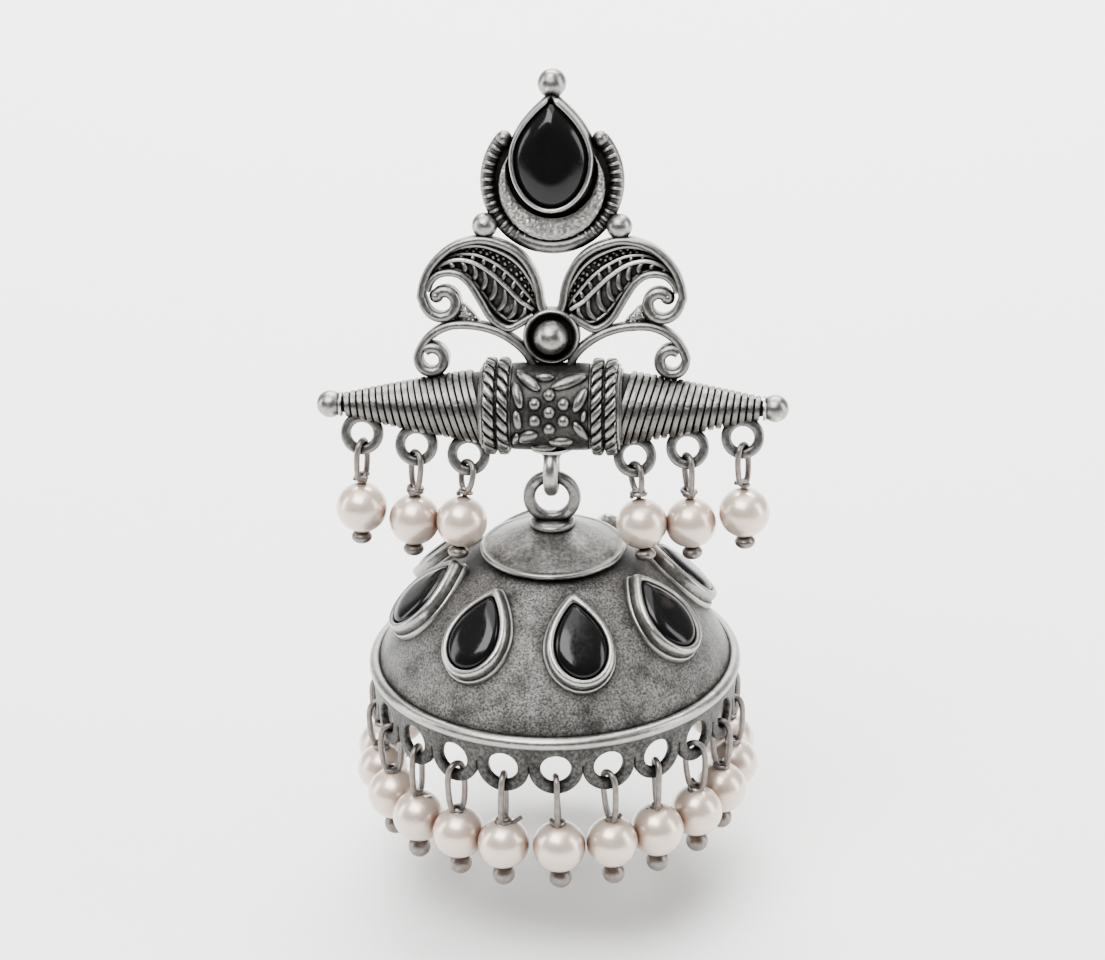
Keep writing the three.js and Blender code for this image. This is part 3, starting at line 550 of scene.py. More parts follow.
# Each silver finish, with what sets it apart from plain cast silver
SILVERS = {
    "cast silver": {},
    "worn silver": {"bright": 1.6, "grain_depth": 0.02, "reach": 0.55, "speck": 0.55},
    "recessed silver": {
        "bright": 0.4, "grain_depth": 0.06, "blotch": 0.5, "reach": 1.1, "dull": 0.08, "wear": 2.5,
    },
    "blasted silver": {
        "bright": 1.2, "grain": 5.5, "grain_depth": 0.08, "blotch": 0.62, "reach": 2.6, "speck": 0.18,
        "worn_share": 0.0,
    },
    "ground silver": {
        "bright": 0.75, "grain": 3.5, "grain_depth": 0.06, "blotch": 0.4, "reach": 0.4, "dull": 0.08,
        "speck": 0.35,
    },
    "wrapped silver": {
        "bright": 0.64, "grain": 3.2, "grain_depth": 0.05, "blotch": 0.5, "reach": 0.45, "speck": 0.4,
    },
    "brushed silver": {
        "bright": 1.05, "grain": 3.4, "grain_depth": 0.035, "blotch": 0.45, "reach": 0.7, "speck": 0.4,
        "worn_share": 0.0,
    },
    "pebbled silver": {
        "bright": 2.0, "grain": 2.2, "grain_depth": 0.1, "blotch": 0.2, "reach": 0.55, "speck": 0.4,
    },
    "flat silver": {
        "bright": 0.5, "grain": 3.6, "grain_depth": 0.05, "blotch": 0.45, "reach": 0.9, "dull": 0.08,
        "speck": 0.3, "worn_share": 0.0,
    },
}
OTHER_FINISHES = {"black stone": stone_finish, "pearl lustre": pearl_finish, "pin wire": pin_finish}
made_finishes = {}


def finish(name):
    """The named finish, made on its first use from the colours in the panel."""
    if name not in made_finishes:
        looks = bpy.context.scene.jhumka_finishes
        if name in SILVERS:
            made_finishes[name] = silver_finish(name, looks, **SILVERS[name])
        else:
            made_finishes[name] = OTHER_FINISHES[name](name, looks)
    return made_finishes[name]


# The stud
def ribbed_ring(sizes):
    """The outer ring: short bars laid across its sides, fading to cast grain at its foot."""
    start, end = math.radians(180 - RING_END), math.radians(360 + RING_END)
    foot = 1.5 * math.pi
    line = circle((0, 0, RING_WIRE / 2), RING_MIDDLE, FACE_ON, 520, start, end, closed=False)
    from_foot = np.abs(np.linspace(start, end, 520) - foot)
    fade = np.clip((from_foot - math.radians(24)) / math.radians(24), 0, 1)
    form = Form().add(tube(line, RING_WIRE / 2 * (1 - 0.06 * fade), 20, up=UP_OUT))
    turns = np.arange(foot + math.radians(19), end - math.radians(4), sizes.rib_pitch / MM / RING_MIDDLE)
    for k, turn in enumerate(turns):
        swell = min(1.0, (k + 1) / 5)
        out_way = np.array([math.cos(turn), math.sin(turn), 0])
        round_way = np.array([-math.sin(turn), math.cos(turn), 0])
        spot = (RING_MIDDLE - 0.06) * out_way + (0, 0, RING_WIRE - 0.3 + 0.06 * swell)
        bar = bead(spot, [0.5 * out_way, 0.225 * round_way, (0, 0, 0.4 * swell + 0.08)], 18, 12)
        form.add(bar)
        form.add(bar, mirror=True)
    return form


def stud_plate():
    """The flat disc behind the crescent."""
    angle = np.radians(np.linspace(180 - RING_END, 360 + RING_END, 90))
    outline = RING_MIDDLE * np.column_stack([np.cos(angle), np.sin(angle)])
    levels = ((1, 0), (1, 0.5), (0.985, 0.55))
    return stacked([at_height(outline * scale, height) for scale, height in levels])


def crescent():
    """The pebbled crescent between two circles, crowned across its width."""
    low, high, outer_radius, inner_radius = -0.4, 0.6, 4.1, 3.46
    edge_out, face_out, crown = 0.3, 1.16, 0.26
    along, wide = 260, 22
    horn = (outer_radius**2 - inner_radius**2 - low**2 + high**2) / (2 * (high - low))
    outer_end = math.asin((horn - low) / outer_radius)
    inner_end = math.asin((horn - high) / inner_radius)
    share = np.linspace(0, 1, along)
    outer_angle = math.pi - outer_end + share * (math.pi + 2 * outer_end)
    inner_angle = math.pi - inner_end + share * (math.pi + 2 * inner_end)
    outer = np.column_stack([outer_radius * np.cos(outer_angle), low + outer_radius * np.sin(outer_angle)])
    inner = np.column_stack([inner_radius * np.cos(inner_angle), high + inner_radius * np.sin(inner_angle)])
    across = np.concatenate([[0], np.linspace(0, 1, wide), [1]])
    face = face_out + crown * (1 - np.abs(2 * np.linspace(0, 1, wide) - 1) ** 3)
    height = np.concatenate([[edge_out], face, [edge_out]])
    flat = inner[:, None] + (outer - inner)[:, None] * across[None, :, None]
    places = np.dstack([flat, np.broadcast_to(height, flat.shape[:2])]).reshape(-1, 3)
    inside = np.tile(np.concatenate([[0], np.sin(np.linspace(0, math.pi, wide)) ** 0.5, [0]]), along)
    places[:, 2] += 0.05 * inside * ripple(places * (1, 1, 0), 0.42, 5)
    return places, grid(along, wide + 2)


def stud_bezel():
    """The bezel round the stud's stone, notched at its point and closed at its back."""
    section = (
        (-0.2, 0.5), (-0.18, 0.9), (-0.06, 1.06), (0.0, 1.2), (0.0, 2.45), (0.02, 2.66), (0.08, 2.77),
        (0.17, 2.8), (0.28, 2.78), (0.35, 2.68), (0.38, 2.5), (0.4, 1.3), (0.3, 0.5),
    )
    notch_half, notch_depth, notch_from = 0.34, 0.75, 2.3
    wall, faces = pear_wall(STUD, section, 40, 1)
    across, up, out = wall.T
    at_point = np.clip(1 - np.abs(across) / notch_half, 0, 1) * (up > 0) * (out > notch_from)
    wall[:, 2] -= notch_depth * at_point
    back = pear_stone(STUD, 0.02, [(1.0, 0.5), (1.0, 1.32), (0.05, 1.32)], 40, 1)
    middle = (0, STUD_UP, 0)
    return Form().add((wall, faces), middle).add(back, middle)


def build_stud(sizes):
    """The stud: ring, plate, crescent, bezel, balls and stone."""
    ring = ribbed_ring(sizes)
    end = math.radians(RING_END)
    reach = 4.92
    for side in (-1, 1):
        ring.add(bead((side * reach * math.cos(end), reach * math.sin(end), 0.9), 0.62, 24, 16))
    cast("stud_ring", ring, "cast silver")
    cast("stud_plate", Form().add(stud_plate()), "recessed silver")
    cast("stud_crescent", Form().add(crescent()), "pebbled silver")
    cast("stud_bezel", stud_bezel(), "worn silver", sharp=50)
    balls = Form()
    balls.add(bead((0, STUD_UP + STUD[2] + 0.81, 1.1), 1.12, 40, 28))
    for side in (-1, 1):
        balls.add(bead((side * MIDDLE_BALL[0], MIDDLE_BALL[1], 0.98), 1.0, 36, 24))
    places = balls.all_places()
    balls.places = [places * (1 + 0.006 * ripple(places, 1.4, 3)[:, None] * (0, 1, 1))]
    cast("stud_balls", balls, "worn silver")
    crown = [(1.0 - 0.5 * t, 2.44 + 0.74 * math.sin(math.pi / 2 * t) ** 0.9) for t in np.linspace(0, 1, 16)]
    levels = [(1.0, 1.4), (1.0, 2.4)] + crown + [(0.35, 3.195), (0.2, 3.2), (0.05, 3.2)]
    stone = Form().add(pear_stone(STUD, 0.42, levels, 40, 12), (0, STUD_UP, 0))
    piece("stud_stone_polished", stone, "top", "black stone", ("stud_stone",), leaning=True)


def build_post():
    """The plain post on its pad, square on the flat back."""
    profile = (
        (0, -0.1), (1.6, -0.1), (1.68, -0.16), (1.7, -0.3), (1.68, -0.5), (1.55, -0.6), (0.75, -0.62),
        (0.52, -0.72), (0.45, -0.95), (0.45, -9.0), (0.4, -9.12), (0.4, -9.4), (0.45, -9.52), (0.45, -10.1),
        (0.36, -10.42), (0.2, -10.57), (0, -10.6),
    )
    places, faces = turned(profile, 40)
    form = Form().add((stand(places), faces))
    piece("ear_post_wire", form, "top", "pin wire", ("ear_post",), sharp=50)


# Leaves, scrolls and cup
LEAF_OUTER = (
    (0.085, -0.77), (0.1, -0.6), (0.138, -0.42), (0.202, -0.25), (0.29, -0.125), (0.4, -0.045), (0.522, 0.0),
    (0.64, -0.02), (0.75, -0.085), (0.852, -0.21), (0.935, -0.38), (0.981, -0.56),
)
LEAF_INNER = (
    (0.955, -0.64), (0.926, -0.53), (0.867, -0.44), (0.783, -0.41), (0.7, -0.44), (0.626, -0.54),
    (0.562, -0.7), (0.512, -0.84), (0.473, -0.945), (0.404, -1.05), (0.325, -1.1), (0.241, -1.04),
)
LEAF_CURL_MIDDLE = np.array([LEAF_SPAN - LEAF_CURL, LEAF_TOP - 0.775 * LEAF_HEIGHT])


def leaf_place(pair):
    """A knot given as shares of the leaf's span and height, in millimetres."""
    return (pair[0] * LEAF_SPAN, LEAF_TOP + pair[1] * LEAF_HEIGHT)


def spindle_radius(across):
    """The radius of the wrapped bar, which tapers outwards with a slight swell."""
    start, tip, wide, thin = SPINDLE
    share = (across - start) / (tip - start)
    return wide + (thin - wide) * share + 0.42 * share * (1 - share)


def scroll_curl_middle():
    """The middle of a scroll's curl, which rests on the bar."""
    across = SCROLL_SPAN - SCROLL_CURL
    return np.array([across, BAR_UP + spindle_radius(across) + SCROLL_CURL + 0.34 - 0.15])


def leaf_lines():
    """The leaf's outer wire, its curl and its inner wire, as flat lines."""
    stem = (0.3 * CUP_RADIUS, CUP_UP + 0.9 * CUP_RADIUS)
    outer = smooth_line([stem] + [leaf_place(k) for k in LEAF_OUTER], 90)
    turn = curl(LEAF_CURL_MIDDLE, 12, -322, LEAF_CURL, 0.4 * LEAF_CURL, 70)
    foot = (0.62 * CUP_RADIUS, CUP_UP + 0.72 * CUP_RADIUS)
    inner = smooth_line([leaf_place(k) for k in LEAF_INNER] + [foot], 90)
    return outer, turn, inner[::-1]


def on_leaf(lines, along, across, out):
    """Places on a leaf at a height, by shares from stem to tip and from inner to outer wire."""
    outer, _, inner = lines
    knot = np.clip(np.asarray(along, float), 0, 1) * (len(outer) - 1)
    low = np.floor(knot).astype(int).clip(0, len(outer) - 2)
    part = (knot - low)[..., None]
    out_side = outer[low] * (1 - part) + outer[low + 1] * part
    in_side = inner[low] * (1 - part) + inner[low + 1] * part
    flat = in_side + (out_side - in_side) * np.asarray(across, float)[..., None]
    height = np.broadcast_to(np.asarray(out, float), flat.shape[:-1])
    return np.concatenate([flat, height[..., None]], -1)


def leaf_wires(lines, width):
    """The leaf's edge wire with its curl and end ball, and its inner wire."""
    outer, turn, inner = lines
    edge = even(np.vstack([outer, turn]), 220)
    form = Form()
    form.add(sweep(at_height(edge, 0), widening(width, 1.8, 221, 1.55), up=UP_OUT))
    form.add(sweep(at_height(inner, 0), strip_section(width * 0.92, 1.7), up=UP_OUT))
    return form.add(bead((*turn[-1], 0.95), np.diag([0.56, 0.56, 0.88]), 24, 16))


def leaf_panel(lines):
    """The sheet between the leaf's wires."""
    along = np.linspace(0.0, 1.0, 120)[:, None]
    across = np.concatenate([[0], np.linspace(0, 1, 40), [1]])[None]
    height = np.concatenate([[0], np.full(40, 0.72), [0]])[None]
    along, across, height = np.broadcast_arrays(along, across, height)
    return Form().add((on_leaf(lines, along, across, height).reshape(-1, 3), grid(120, 42)))


def leaf_filigree(lines, bars):
    """The work in a leaf: wires along it, long and short bars across it and two rows of beads."""
    form = Form()
    along = np.linspace(0.06, 0.93, 70)
    for share, thick, out in ((0.12, 0.16, 1.0), (0.5, 0.19, 1.16), (0.67, 0.13, 1.0), (0.885, 0.19, 1.15)):
        form.add(tube(on_leaf(lines, along, np.full(70, share), out), thick, 8, up=UP_OUT))

    share = np.linspace(0, 1, 14)
    arch = np.sin(math.pi * share)
    thick = np.interp(share, [0, 0.3, 0.8, 1], [0.16, 0.22, 0.18, 0.1])
    for i in range(bars):
        at = 0.15 + 0.72 * i / (bars - 1)
        line = on_leaf(lines, at - 0.04 * arch + 0.02 * share, 0.1 + 0.41 * share, 0.94 + 0.2 * arch)
        form.add(tube(line, thick, 10, up=UP_OUT))

    short_bars = 10
    for i in range(short_bars):
        at = 0.14 + 0.7 * i / (short_bars - 1)
        line = on_leaf(lines, np.full(7, at), np.linspace(0.5, 0.66, 7), 0.98)
        form.add(tube(line, 0.1 + 0.1 * np.sin(np.linspace(0, math.pi, 7)), 10, up=UP_OUT))

    draw = np.random.default_rng(17)
    beads = 19
    for row, share in enumerate((0.745, 0.82)):
        for i in range(beads):
            at = 0.1 + 0.8 * (i + 0.5 * row) / beads + draw.uniform(-0.006, 0.006)
            spot = on_leaf(lines, [at], [share + draw.uniform(-0.012, 0.012)], 0.86)[0]
            form.add(bead(spot, draw.uniform(0.13, 0.19), 12, 8))
    return form


def leaf_web():
    """The pebbled web that joins a leaf's curl to the scroll below it."""
    scroll_top = scroll_curl_middle()[1] + SCROLL_RISE
    corners = np.array([
        LEAF_CURL_MIDDLE + (-0.55 * LEAF_CURL, 0.05),
        LEAF_CURL_MIDDLE + (-0.3 * LEAF_CURL, -0.62 * LEAF_CURL),
        (SCROLL_SPAN * 0.7, scroll_top),
        (SCROLL_SPAN * 0.6, scroll_top - 0.1),
        (SCROLL_SPAN * 0.49, scroll_top - 0.34),
        LEAF_CURL_MIDDLE + (-1.35 * LEAF_CURL, -0.55 * LEAF_CURL),
        LEAF_CURL_MIDDLE + (-0.95 * LEAF_CURL, -0.12 * LEAF_CURL),
    ])
    steps, pebbles = 60, 26
    outline = even(np.vstack([corners, corners[:1]]), steps)[:-1]
    centre = outline.mean(0)
    levels = ((1, 0), (1, 0.85), (0.96, 1.0), (0.85, 1.1), (0.6, 1.2), (0.3, 1.24), (0.05, 1.25))
    form = Form().add(stacked([at_height(centre + (outline - centre) * scale, out) for scale, out in levels]))
    draw = np.random.default_rng(8)
    for _ in range(pebbles):
        spot = centre + (outline[draw.integers(steps)] - centre) * math.sqrt(draw.uniform(0.02, 0.72))
        form.add(bead((*spot, 1.14), 0.16, 10, 6))
    return form


def build_leaves(sizes):
    """The pair of leaves: wires, sheets, the work in them and the webs below their curls."""
    lines = leaf_lines()
    cast("leaf_wires", leaf_wires(lines, sizes.leaf_wire / MM).mirrored(), "cast silver")
    cast("leaf_panels", leaf_panel(lines).mirrored(), "ground silver")
    cast("leaf_filigree", leaf_filigree(lines, sizes.leaf_bars).mirrored(), "cast silver")
    cast("leaf_webs", leaf_web().mirrored(), "pebbled silver")


def build_scrolls(sizes):
    """The pair of scrolls that rise from the cup's foot and curl down on the bar."""
    middle = scroll_curl_middle()
    top_up = middle[1] + SCROLL_RISE
    foot = CUP_UP - 0.8 * CUP_RADIUS
    shares = (
        (0.18, 0.14), (0.262, 0.47), (0.375, 0.76), (0.495, 0.93), (0.615, 1), (0.735, 0.99), (0.84, 0.84),
        (0.925, 0.58), (0.982, 0.22),
    )
    knots = [(0.62 * CUP_RADIUS, foot - 0.3 * CUP_RADIUS)]
    knots += [(x * SCROLL_SPAN, foot + (top_up - foot) * y) for x, y in shares]
    turn = curl(middle, 10, -310, SCROLL_CURL, 0.8 * SCROLL_CURL, 60)
    line = even(np.vstack([smooth_line(knots, 90), turn]), 170)
    sections = widening(sizes.scroll_wire / MM, 1.8, 171, 1.4)
    form = Form().add(sweep(at_height(line, 0), sections, up=UP_OUT))
    cast("lower_scrolls", form.mirrored(), "cast silver")


def build_cup():
    """The cup and the ball that stands in it."""
    r = CUP_RADIUS
    profile = (
        (0, 0), (r - 0.05, 0), (r, 0.1), (r, 1.45), (r - 0.02, 1.68), (r - 0.1, 1.83), (r - 0.22, 1.89),
        (r - 0.34, 1.84), (r - 0.43, 1.68), (r - 0.47, 1.4), (r - 0.5, 1.05), (r - 0.58, 0.92), (0, 0.9),
    )
    cast("cup_wall", Form().add(turned(profile, 72), (0, CUP_UP, 0)), "cast silver")
    centre = np.array([0, CUP_UP, 2.12])
    ball = Form().add(bead(centre, CUP_BALL, 48, 32))
    places = ball.all_places()
    ball.places = [centre + (places - centre) * (1 + 0.012 * ripple(places, 1.1, 12)[:, None])]
    cast("cup_ball", ball, "worn silver")


# The spindle bar: each petal is across, up, half its length, half its width, and its tilt in degrees
PETALS = (
    (-2.43, 1.3, 0.98, 0.4, 104), (-2.43, -0.62, 0.74, 0.33, 99), (-1.66, 2.35, 1.15, 0.46, -44),
    (-0.4, 2.55, 0.72, 0.38, 0), (1.5, 2.3, 1.35, 0.5, 24), (2.38, 1.0, 0.95, 0.42, 64),
    (2.42, -1.45, 0.88, 0.36, -58), (-1.66, -1.95, 0.78, 0.5, 24), (0.85, -2.35, 0.85, 0.42, 4),
    (2.66, -0.25, 0.45, 0.22, 80), (-2.62, -2.1, 0.5, 0.26, 70), (-0.5, -2.9, 0.9, 0.3, 0),
)


def on_bar(across, turn, radius):
    """A place on the bar; the turn is from the front upwards."""
    return np.array([across, BAR_UP + radius * math.sin(turn), BAR_OUT + radius * math.cos(turn)])


def bar_turned(profile, steps):
    """A solid turned about the bar's axis from (radius, across) pairs."""
    places, faces = turned(profile, steps)
    return places[:, [2, 0, 1]] + (0, BAR_UP, BAR_OUT), faces


def bar_hoop(across, radius, thick, steps, sides):
    """A round wire laid straight round the bar."""
    line = circle((across, BAR_UP, BAR_OUT), radius, ROUND_BAR, steps)
    return tube(line, thick, sides, closed=True, up=(1, 0, 0))


def relief(across, up, half_long, half_wide, tilt, height):
    """A raised petal on the bar's plain middle; the tilt is in degrees from across."""
    turn = math.asin(up / BAR_RADIUS)
    out = np.array([0, math.sin(turn), math.cos(turn)])
    rise = np.array([0, math.cos(turn), -math.sin(turn)])
    side = np.array([1.0, 0, 0])
    a = math.radians(tilt)
    long_way = math.cos(a) * side + math.sin(a) * rise
    wide_way = -math.sin(a) * side + math.cos(a) * rise
    axes = [half_long * long_way, half_wide * wide_way, height * out]
    return bead(on_bar(across, turn, BAR_RADIUS - 0.06), axes, 22, 12)


def rope_strand(across, turn, side, count):
    """One strand of a twisted band, running slantwise from edge to edge of the band."""
    half_band, middle_radius, slant, sides = 0.46, 3.42, 0.137, 14
    half_width = 0.44 * TAU * middle_radius / count
    rows = []
    for share in np.linspace(-1, 1, 9):
        swell = math.sqrt(1 - 0.85 * abs(share) ** 5)
        section = square_section(sides, half_width * (0.85 + 0.15 * swell), 0.39 * swell, 0.7)
        turns = turn + side * share * slant + section[:, 0] / middle_radius
        radius = middle_radius + section[:, 1]
        up, out = BAR_UP + radius * np.sin(turns), BAR_OUT + radius * np.cos(turns)
        rows.append(np.column_stack([np.full(sides, across + half_band * share), up, out]))
    return stacked(rows)


def barrel():
    """The bar's plain middle, slightly crowned, with its ends inside the ropes."""
    end_radius = 3.1
    profile = [(end_radius, -BAR_HALF - 0.3), (end_radius, -BAR_HALF)]
    for x in np.linspace(-BAR_HALF, BAR_HALF, 40)[1:-1]:
        profile.append((BAR_RADIUS - 0.12 + 0.1 * math.cos(x / BAR_HALF * math.pi / 2) ** 0.5, x))
    profile += [(end_radius, BAR_HALF), (end_radius, BAR_HALF + 0.3)]
    return Form().add(bar_turned(profile, 110))


def flower():
    """The flower on the barrel: seven dots with the petals round them."""
    form = Form()
    dots = [(0.0, 0.0)]
    dots += [(1.27 * math.cos(a), 1.32 * math.sin(a)) for a in np.radians(30 + 60 * np.arange(6))]
    for across, up in dots:
        form.add(relief(across, up, 0.5, 0.53, 0, 0.5))
    for across, up, half_long, half_wide, tilt in PETALS:
        form.add(relief(across, up, 1.12 * half_long, 1.12 * half_wide, tilt, 0.46))
    return form


def ropes(count):
    """Two twisted bands on each side of the barrel, over a core, with thin hoops at their edges."""
    form = Form()
    first, last = BAR_HALF - 0.05, BAR_HALF + 2 * ROPE_WIDTH + 0.05
    for side in (-1, 1):
        for band in (0, 1):
            x = side * (BAR_HALF + (band + 0.5) * ROPE_WIDTH)
            form.add(bar_hoop(x, 3.22, 0.34, 90, 10))
            for i in range(count):
                form.add(rope_strand(x, TAU * (i + 0.5 * band) / count, side, count))
        places, faces = bar_turned([(0, first), (3.36, first), (3.36, last), (0, last)], 80)
        form.add((places * (side, 1, 1), faces))
        for x in (BAR_HALF + 0.02, BAR_HALF + 2 * ROPE_WIDTH + 0.03):
            form.add(bar_hoop(side * x, 3.24, 0.14, 90, 8))
    return form


def bar_core():
    """The tapering core under the wire wraps."""
    start, tip = SPINDLE[:2]
    profile = [(0.0, start - 1.0), (2.6, start - 1.0)]
    profile += [(spindle_radius(x) - 0.27, x) for x in np.linspace(start, tip, 24)]
    profile += [(0.62, tip + 0.3), (0.62, tip + 0.6), (0.0, tip + 0.6)]
    return Form().add(bar_turned(profile, 48))


def bar_wraps(pitch, slant):
    """The wire wound slantwise round the core, with one straight turn next to the rope."""
    start, tip = SPINDLE[:2]
    form = Form()
    turn = np.linspace(0, TAU, 72, endpoint=False)
    section = square_section(10, 0.222, 0.24, 0.6)
    for k in range(int((tip - start - 0.3) / pitch)):
        x = start + 0.34 + k * pitch
        radius = spindle_radius(x) - 0.2
        slope = slant * min(1.0, radius / 2.2)
        line_x = x + slope * radius * np.sin(turn)
        radii = spindle_radius(np.clip(line_x, start, tip)) - 0.2
        line = np.column_stack([line_x, BAR_UP + radii * np.sin(turn), BAR_OUT + radii * np.cos(turn)])
        form.add(sweep(line, section, closed=True, up=(1, 0, 0)))
    first = start + 0.12
    return form.add(bar_hoop(first, spindle_radius(first) - 0.14, 0.25, 80, 8))


def bar_ends():
    """The ball at the bar's end on its small collar."""
    tip = SPINDLE[1]
    collar = ((0, tip - 0.1), (0.95, tip - 0.1), (0.98, tip + 0.02), (0.9, tip + 0.14), (0, tip + 0.14))
    return Form().add(bead((tip + 0.83, BAR_UP, BAR_OUT), 1.07, 36, 24)).add(bar_turned(collar, 40))


def build_bar(sizes):
    """The spindle bar: barrel, flower, ropes, core, wraps and end balls."""
    cast("bar_middle", barrel(), "recessed silver")
    cast("bar_flower", flower(), "cast silver")
    cast("bar_ropes", ropes(sizes.rope_strands), "cast silver")
    cast("bar_core", bar_core().mirrored(), "recessed silver")
    cast("bar_wraps", bar_wraps(sizes.wrap_pitch / MM, sizes.wrap_slant).mirrored(), "wrapped silver")
    cast("bar_end_balls", bar_ends().mirrored(), "worn silver")


def bar_ring_middle(across):
    """The middle of a ring under the bar."""
    standing = RING_HOLE + RING_BAR_WIRE - RING_SINK
    return np.array([across, BAR_UP - spindle_radius(across) - standing, BAR_OUT])


def build_hangers():
    """The six rings under the bar, and the loop with its tab."""
    rings = Form()
    radius = RING_HOLE + RING_BAR_WIRE / 2
    for across in BAR_RINGS:
        middle = bar_ring_middle(across)
        line = circle(middle, radius, FACE_ON, 56)
        rings.add(sweep(line, square_section(20, RING_BAR_WIRE / 2, 0.46, 0.6), closed=True, up=UP_OUT))
        rings.add(bead(middle + (0, radius + 0.1, 0), np.diag([1.15, 0.42, 0.5]), 24, 14))
    cast("bar_rings", rings.mirrored(), "cast silver")
    line = circle(LOOP_MIDDLE, 1.6, ROUND_BAR, 72)
    loop = Form().add(sweep(line, round_section(18, 0.5, 0.56), closed=True, up=(1, 0, 0)))
    tab = (
        (0, -1.05), (0.5, -1.05), (0.6, -0.8), (0.66, -0.55), (0.8, -0.28), (1.05, -0.02), (1.4, 0.2),
        (1.75, 0.36), (1.75, 0.6), (0, 0.6),
    )
    loop.add(turned(tab, 48), BAR_BOTTOM)
    cast("bar_loop", loop, "worn silver", leaning=False)


# The dome
def skirt(share):
    """Place and direction of the dome's outer face at a share of its length, as (radius, height)."""
    a, b, c = (np.array(p) for p in SKIRT)
    point = (1 - share) ** 2 * a + 2 * share * (1 - share) * b + share**2 * c
    along = 2 * (1 - share) * (b - a) + 2 * share * (c - b)
    return point, along / np.linalg.norm(along)


def stone_seat(index):
    """The frame of one dome stone: across, up the dome, and out of it."""
    angle = math.radians(STONE_TURN + 360 * index / STONES)
    point, along = skirt(STONE_PLACE)
    outward = np.array([math.cos(angle), math.sin(angle), 0])
    up = np.array([*(outward[:2] * -along[0]), -along[1]])
    out = np.array([*(outward[:2] * -along[1]), along[0]])
    across = np.cross(up, out)
    place = np.array([*(outward[:2] * point[0]), point[1]]) - up * (DOME_PEAR[2] - DOME_PEAR[1]) / 2
    return np.vstack([across, up, out]), place + PIVOT


def dome_shell():
    """The dome's hollow wall, with a slightly dented face."""
    outer = [(1.33, CROWN_Z), (4.6, CROWN_Z - 1.35)]
    inner = [(1.33, CROWN_Z - DOME_WALL), (4.3, CROWN_Z - 1.35 - DOME_WALL)]
    for share in np.linspace(0, 1, 60):
        point, along = skirt(share)
        outer.append(tuple(point))
        inner.append((point[0] + along[1] * DOME_WALL, point[1] - along[0] * DOME_WALL))
    outer += [(14.02, -15.62), (13.9, -15.9)]
    places, faces = turned(outer + inner[::-1], 264, closed=True)
    radial = np.hypot(places[:, 0], places[:, 1])
    dent = 0.018 * ripple(places, 3.4, 21) * (radial > 5.4)
    places[:, :2] *= (1 + dent / np.maximum(radial, 1))[:, None]
    return Form().add((places, faces), PIVOT)


def dome_settings():
    """The bezels of the dome's stones in one form, and each stone in a form of its own."""
    section = (
        (-0.22, -0.75), (-0.22, -0.08), (-0.19, 0.02), (-0.12, 0.05), (-0.02, 0.06), (-0.01, 0.16),
        (-0.04, 0.34), (-0.05, 0.55), (-0.02, 0.74), (0.06, 0.89), (0.17, 0.98), (0.3, 1.0), (0.43, 0.96),
        (0.53, 0.86), (0.58, 0.7), (0.59, 0.3), (0.59, -0.75),
    )
    crown = [(1.0 - 0.66 * t**2, 0.74 + 0.6 * math.sin(math.pi / 2 * t)) for t in np.linspace(0, 1, 10)]
    levels = [(1.0, 0.3), (1.0, 0.7)] + crown + [(0.16, 1.352), (0.05, 1.355)]
    bezels, stones = Form(), []
    for i in range(STONES):
        axes, place = stone_seat(i)
        wall, faces = pear_wall(DOME_PEAR, section, 26, 2)
        bezels.add((wall @ axes, faces), place)
        gem, faces = pear_stone(DOME_PEAR, 0.6, levels, 26, 2)
        stones.append(Form().add((gem @ axes, faces), place))
    return bezels, stones


def build_dome():
    """The dome: shell, bezels, stones and rim."""
    dome_part("dome_shell", dome_shell(), "blasted silver", sharp=55)
    bezels, stones = dome_settings()
    dome_part("dome_bezels", bezels, "worn silver", sharp=60)
    for i, stone in enumerate(stones, 1):
        node_name = f"dome_stone_{i}"
        piece(node_name + "_polished", stone, "hanging_dome", "black stone", (node_name,))
    line = circle(PIVOT + (0, 0, RIM_Z), RIM_RADIUS, FACE_ON, 264)
    dome_part("dome_rim", Form().add(tube(line, 0.52, 18, closed=True, up=UP_OUT)), "worn silver")


def build_band():
    """The scalloped band: a flat pierced tile bent and repeated under the rim."""
    sides = 64
    pitch = TAU * FRINGE_RADIUS / FRINGE
    angle = np.linspace(0, TAU, sides, endpoint=False)
    cosine, sine = np.cos(angle), np.sin(angle)
    side = pitch / 2 / np.maximum(np.abs(cosine), 1e-6)
    crest = np.where(sine > 0, (FRINGE_DROP + 0.1) / np.maximum(sine, 1e-6), FRINGE_OUTER)
    outer = np.minimum(side, crest)
    bevel = np.where((sine < 0.1) & (outer > pitch / 2 - 0.02), 0.14, 0.0)
    half = FRINGE_THICK / 2
    hole = np.full(sides, FRINGE_HOLE)
    rows = (
        (hole, -half + 0.1), (hole, half - 0.16), (hole + 0.05, half - 0.05), (hole + 0.16, half),
        (hole + 0.3, half), (outer - 0.2 - bevel, half), (outer - 0.02 - bevel, half),
        (outer - bevel * 0.3, half - bevel * 0.35), (outer, half - bevel * 1.1), (outer, -half + 0.1),
        (outer - 0.05, -half), (outer - 0.2, -half), (hole + 0.3, -half), (hole + 0.1, -half),
    )
    form = Form()
    for k in range(FRINGE):
        middle = math.radians(FRINGE_TURN + 360 * k / FRINGE)
        places = []
        for radius, depth in rows:
            turn = middle + radius * cosine / FRINGE_RADIUS
            reach = FRINGE_RADIUS + depth
            height = FRINGE_HOLE_Z + radius * sine
            places.append(np.column_stack([reach * np.cos(turn), reach * np.sin(turn), height]))
        form.add((np.vstack(places), grid(len(rows), sides, close_rows=True)), PIVOT)
    dome_part("fringe_band", form, "flat silver", sharp=50)


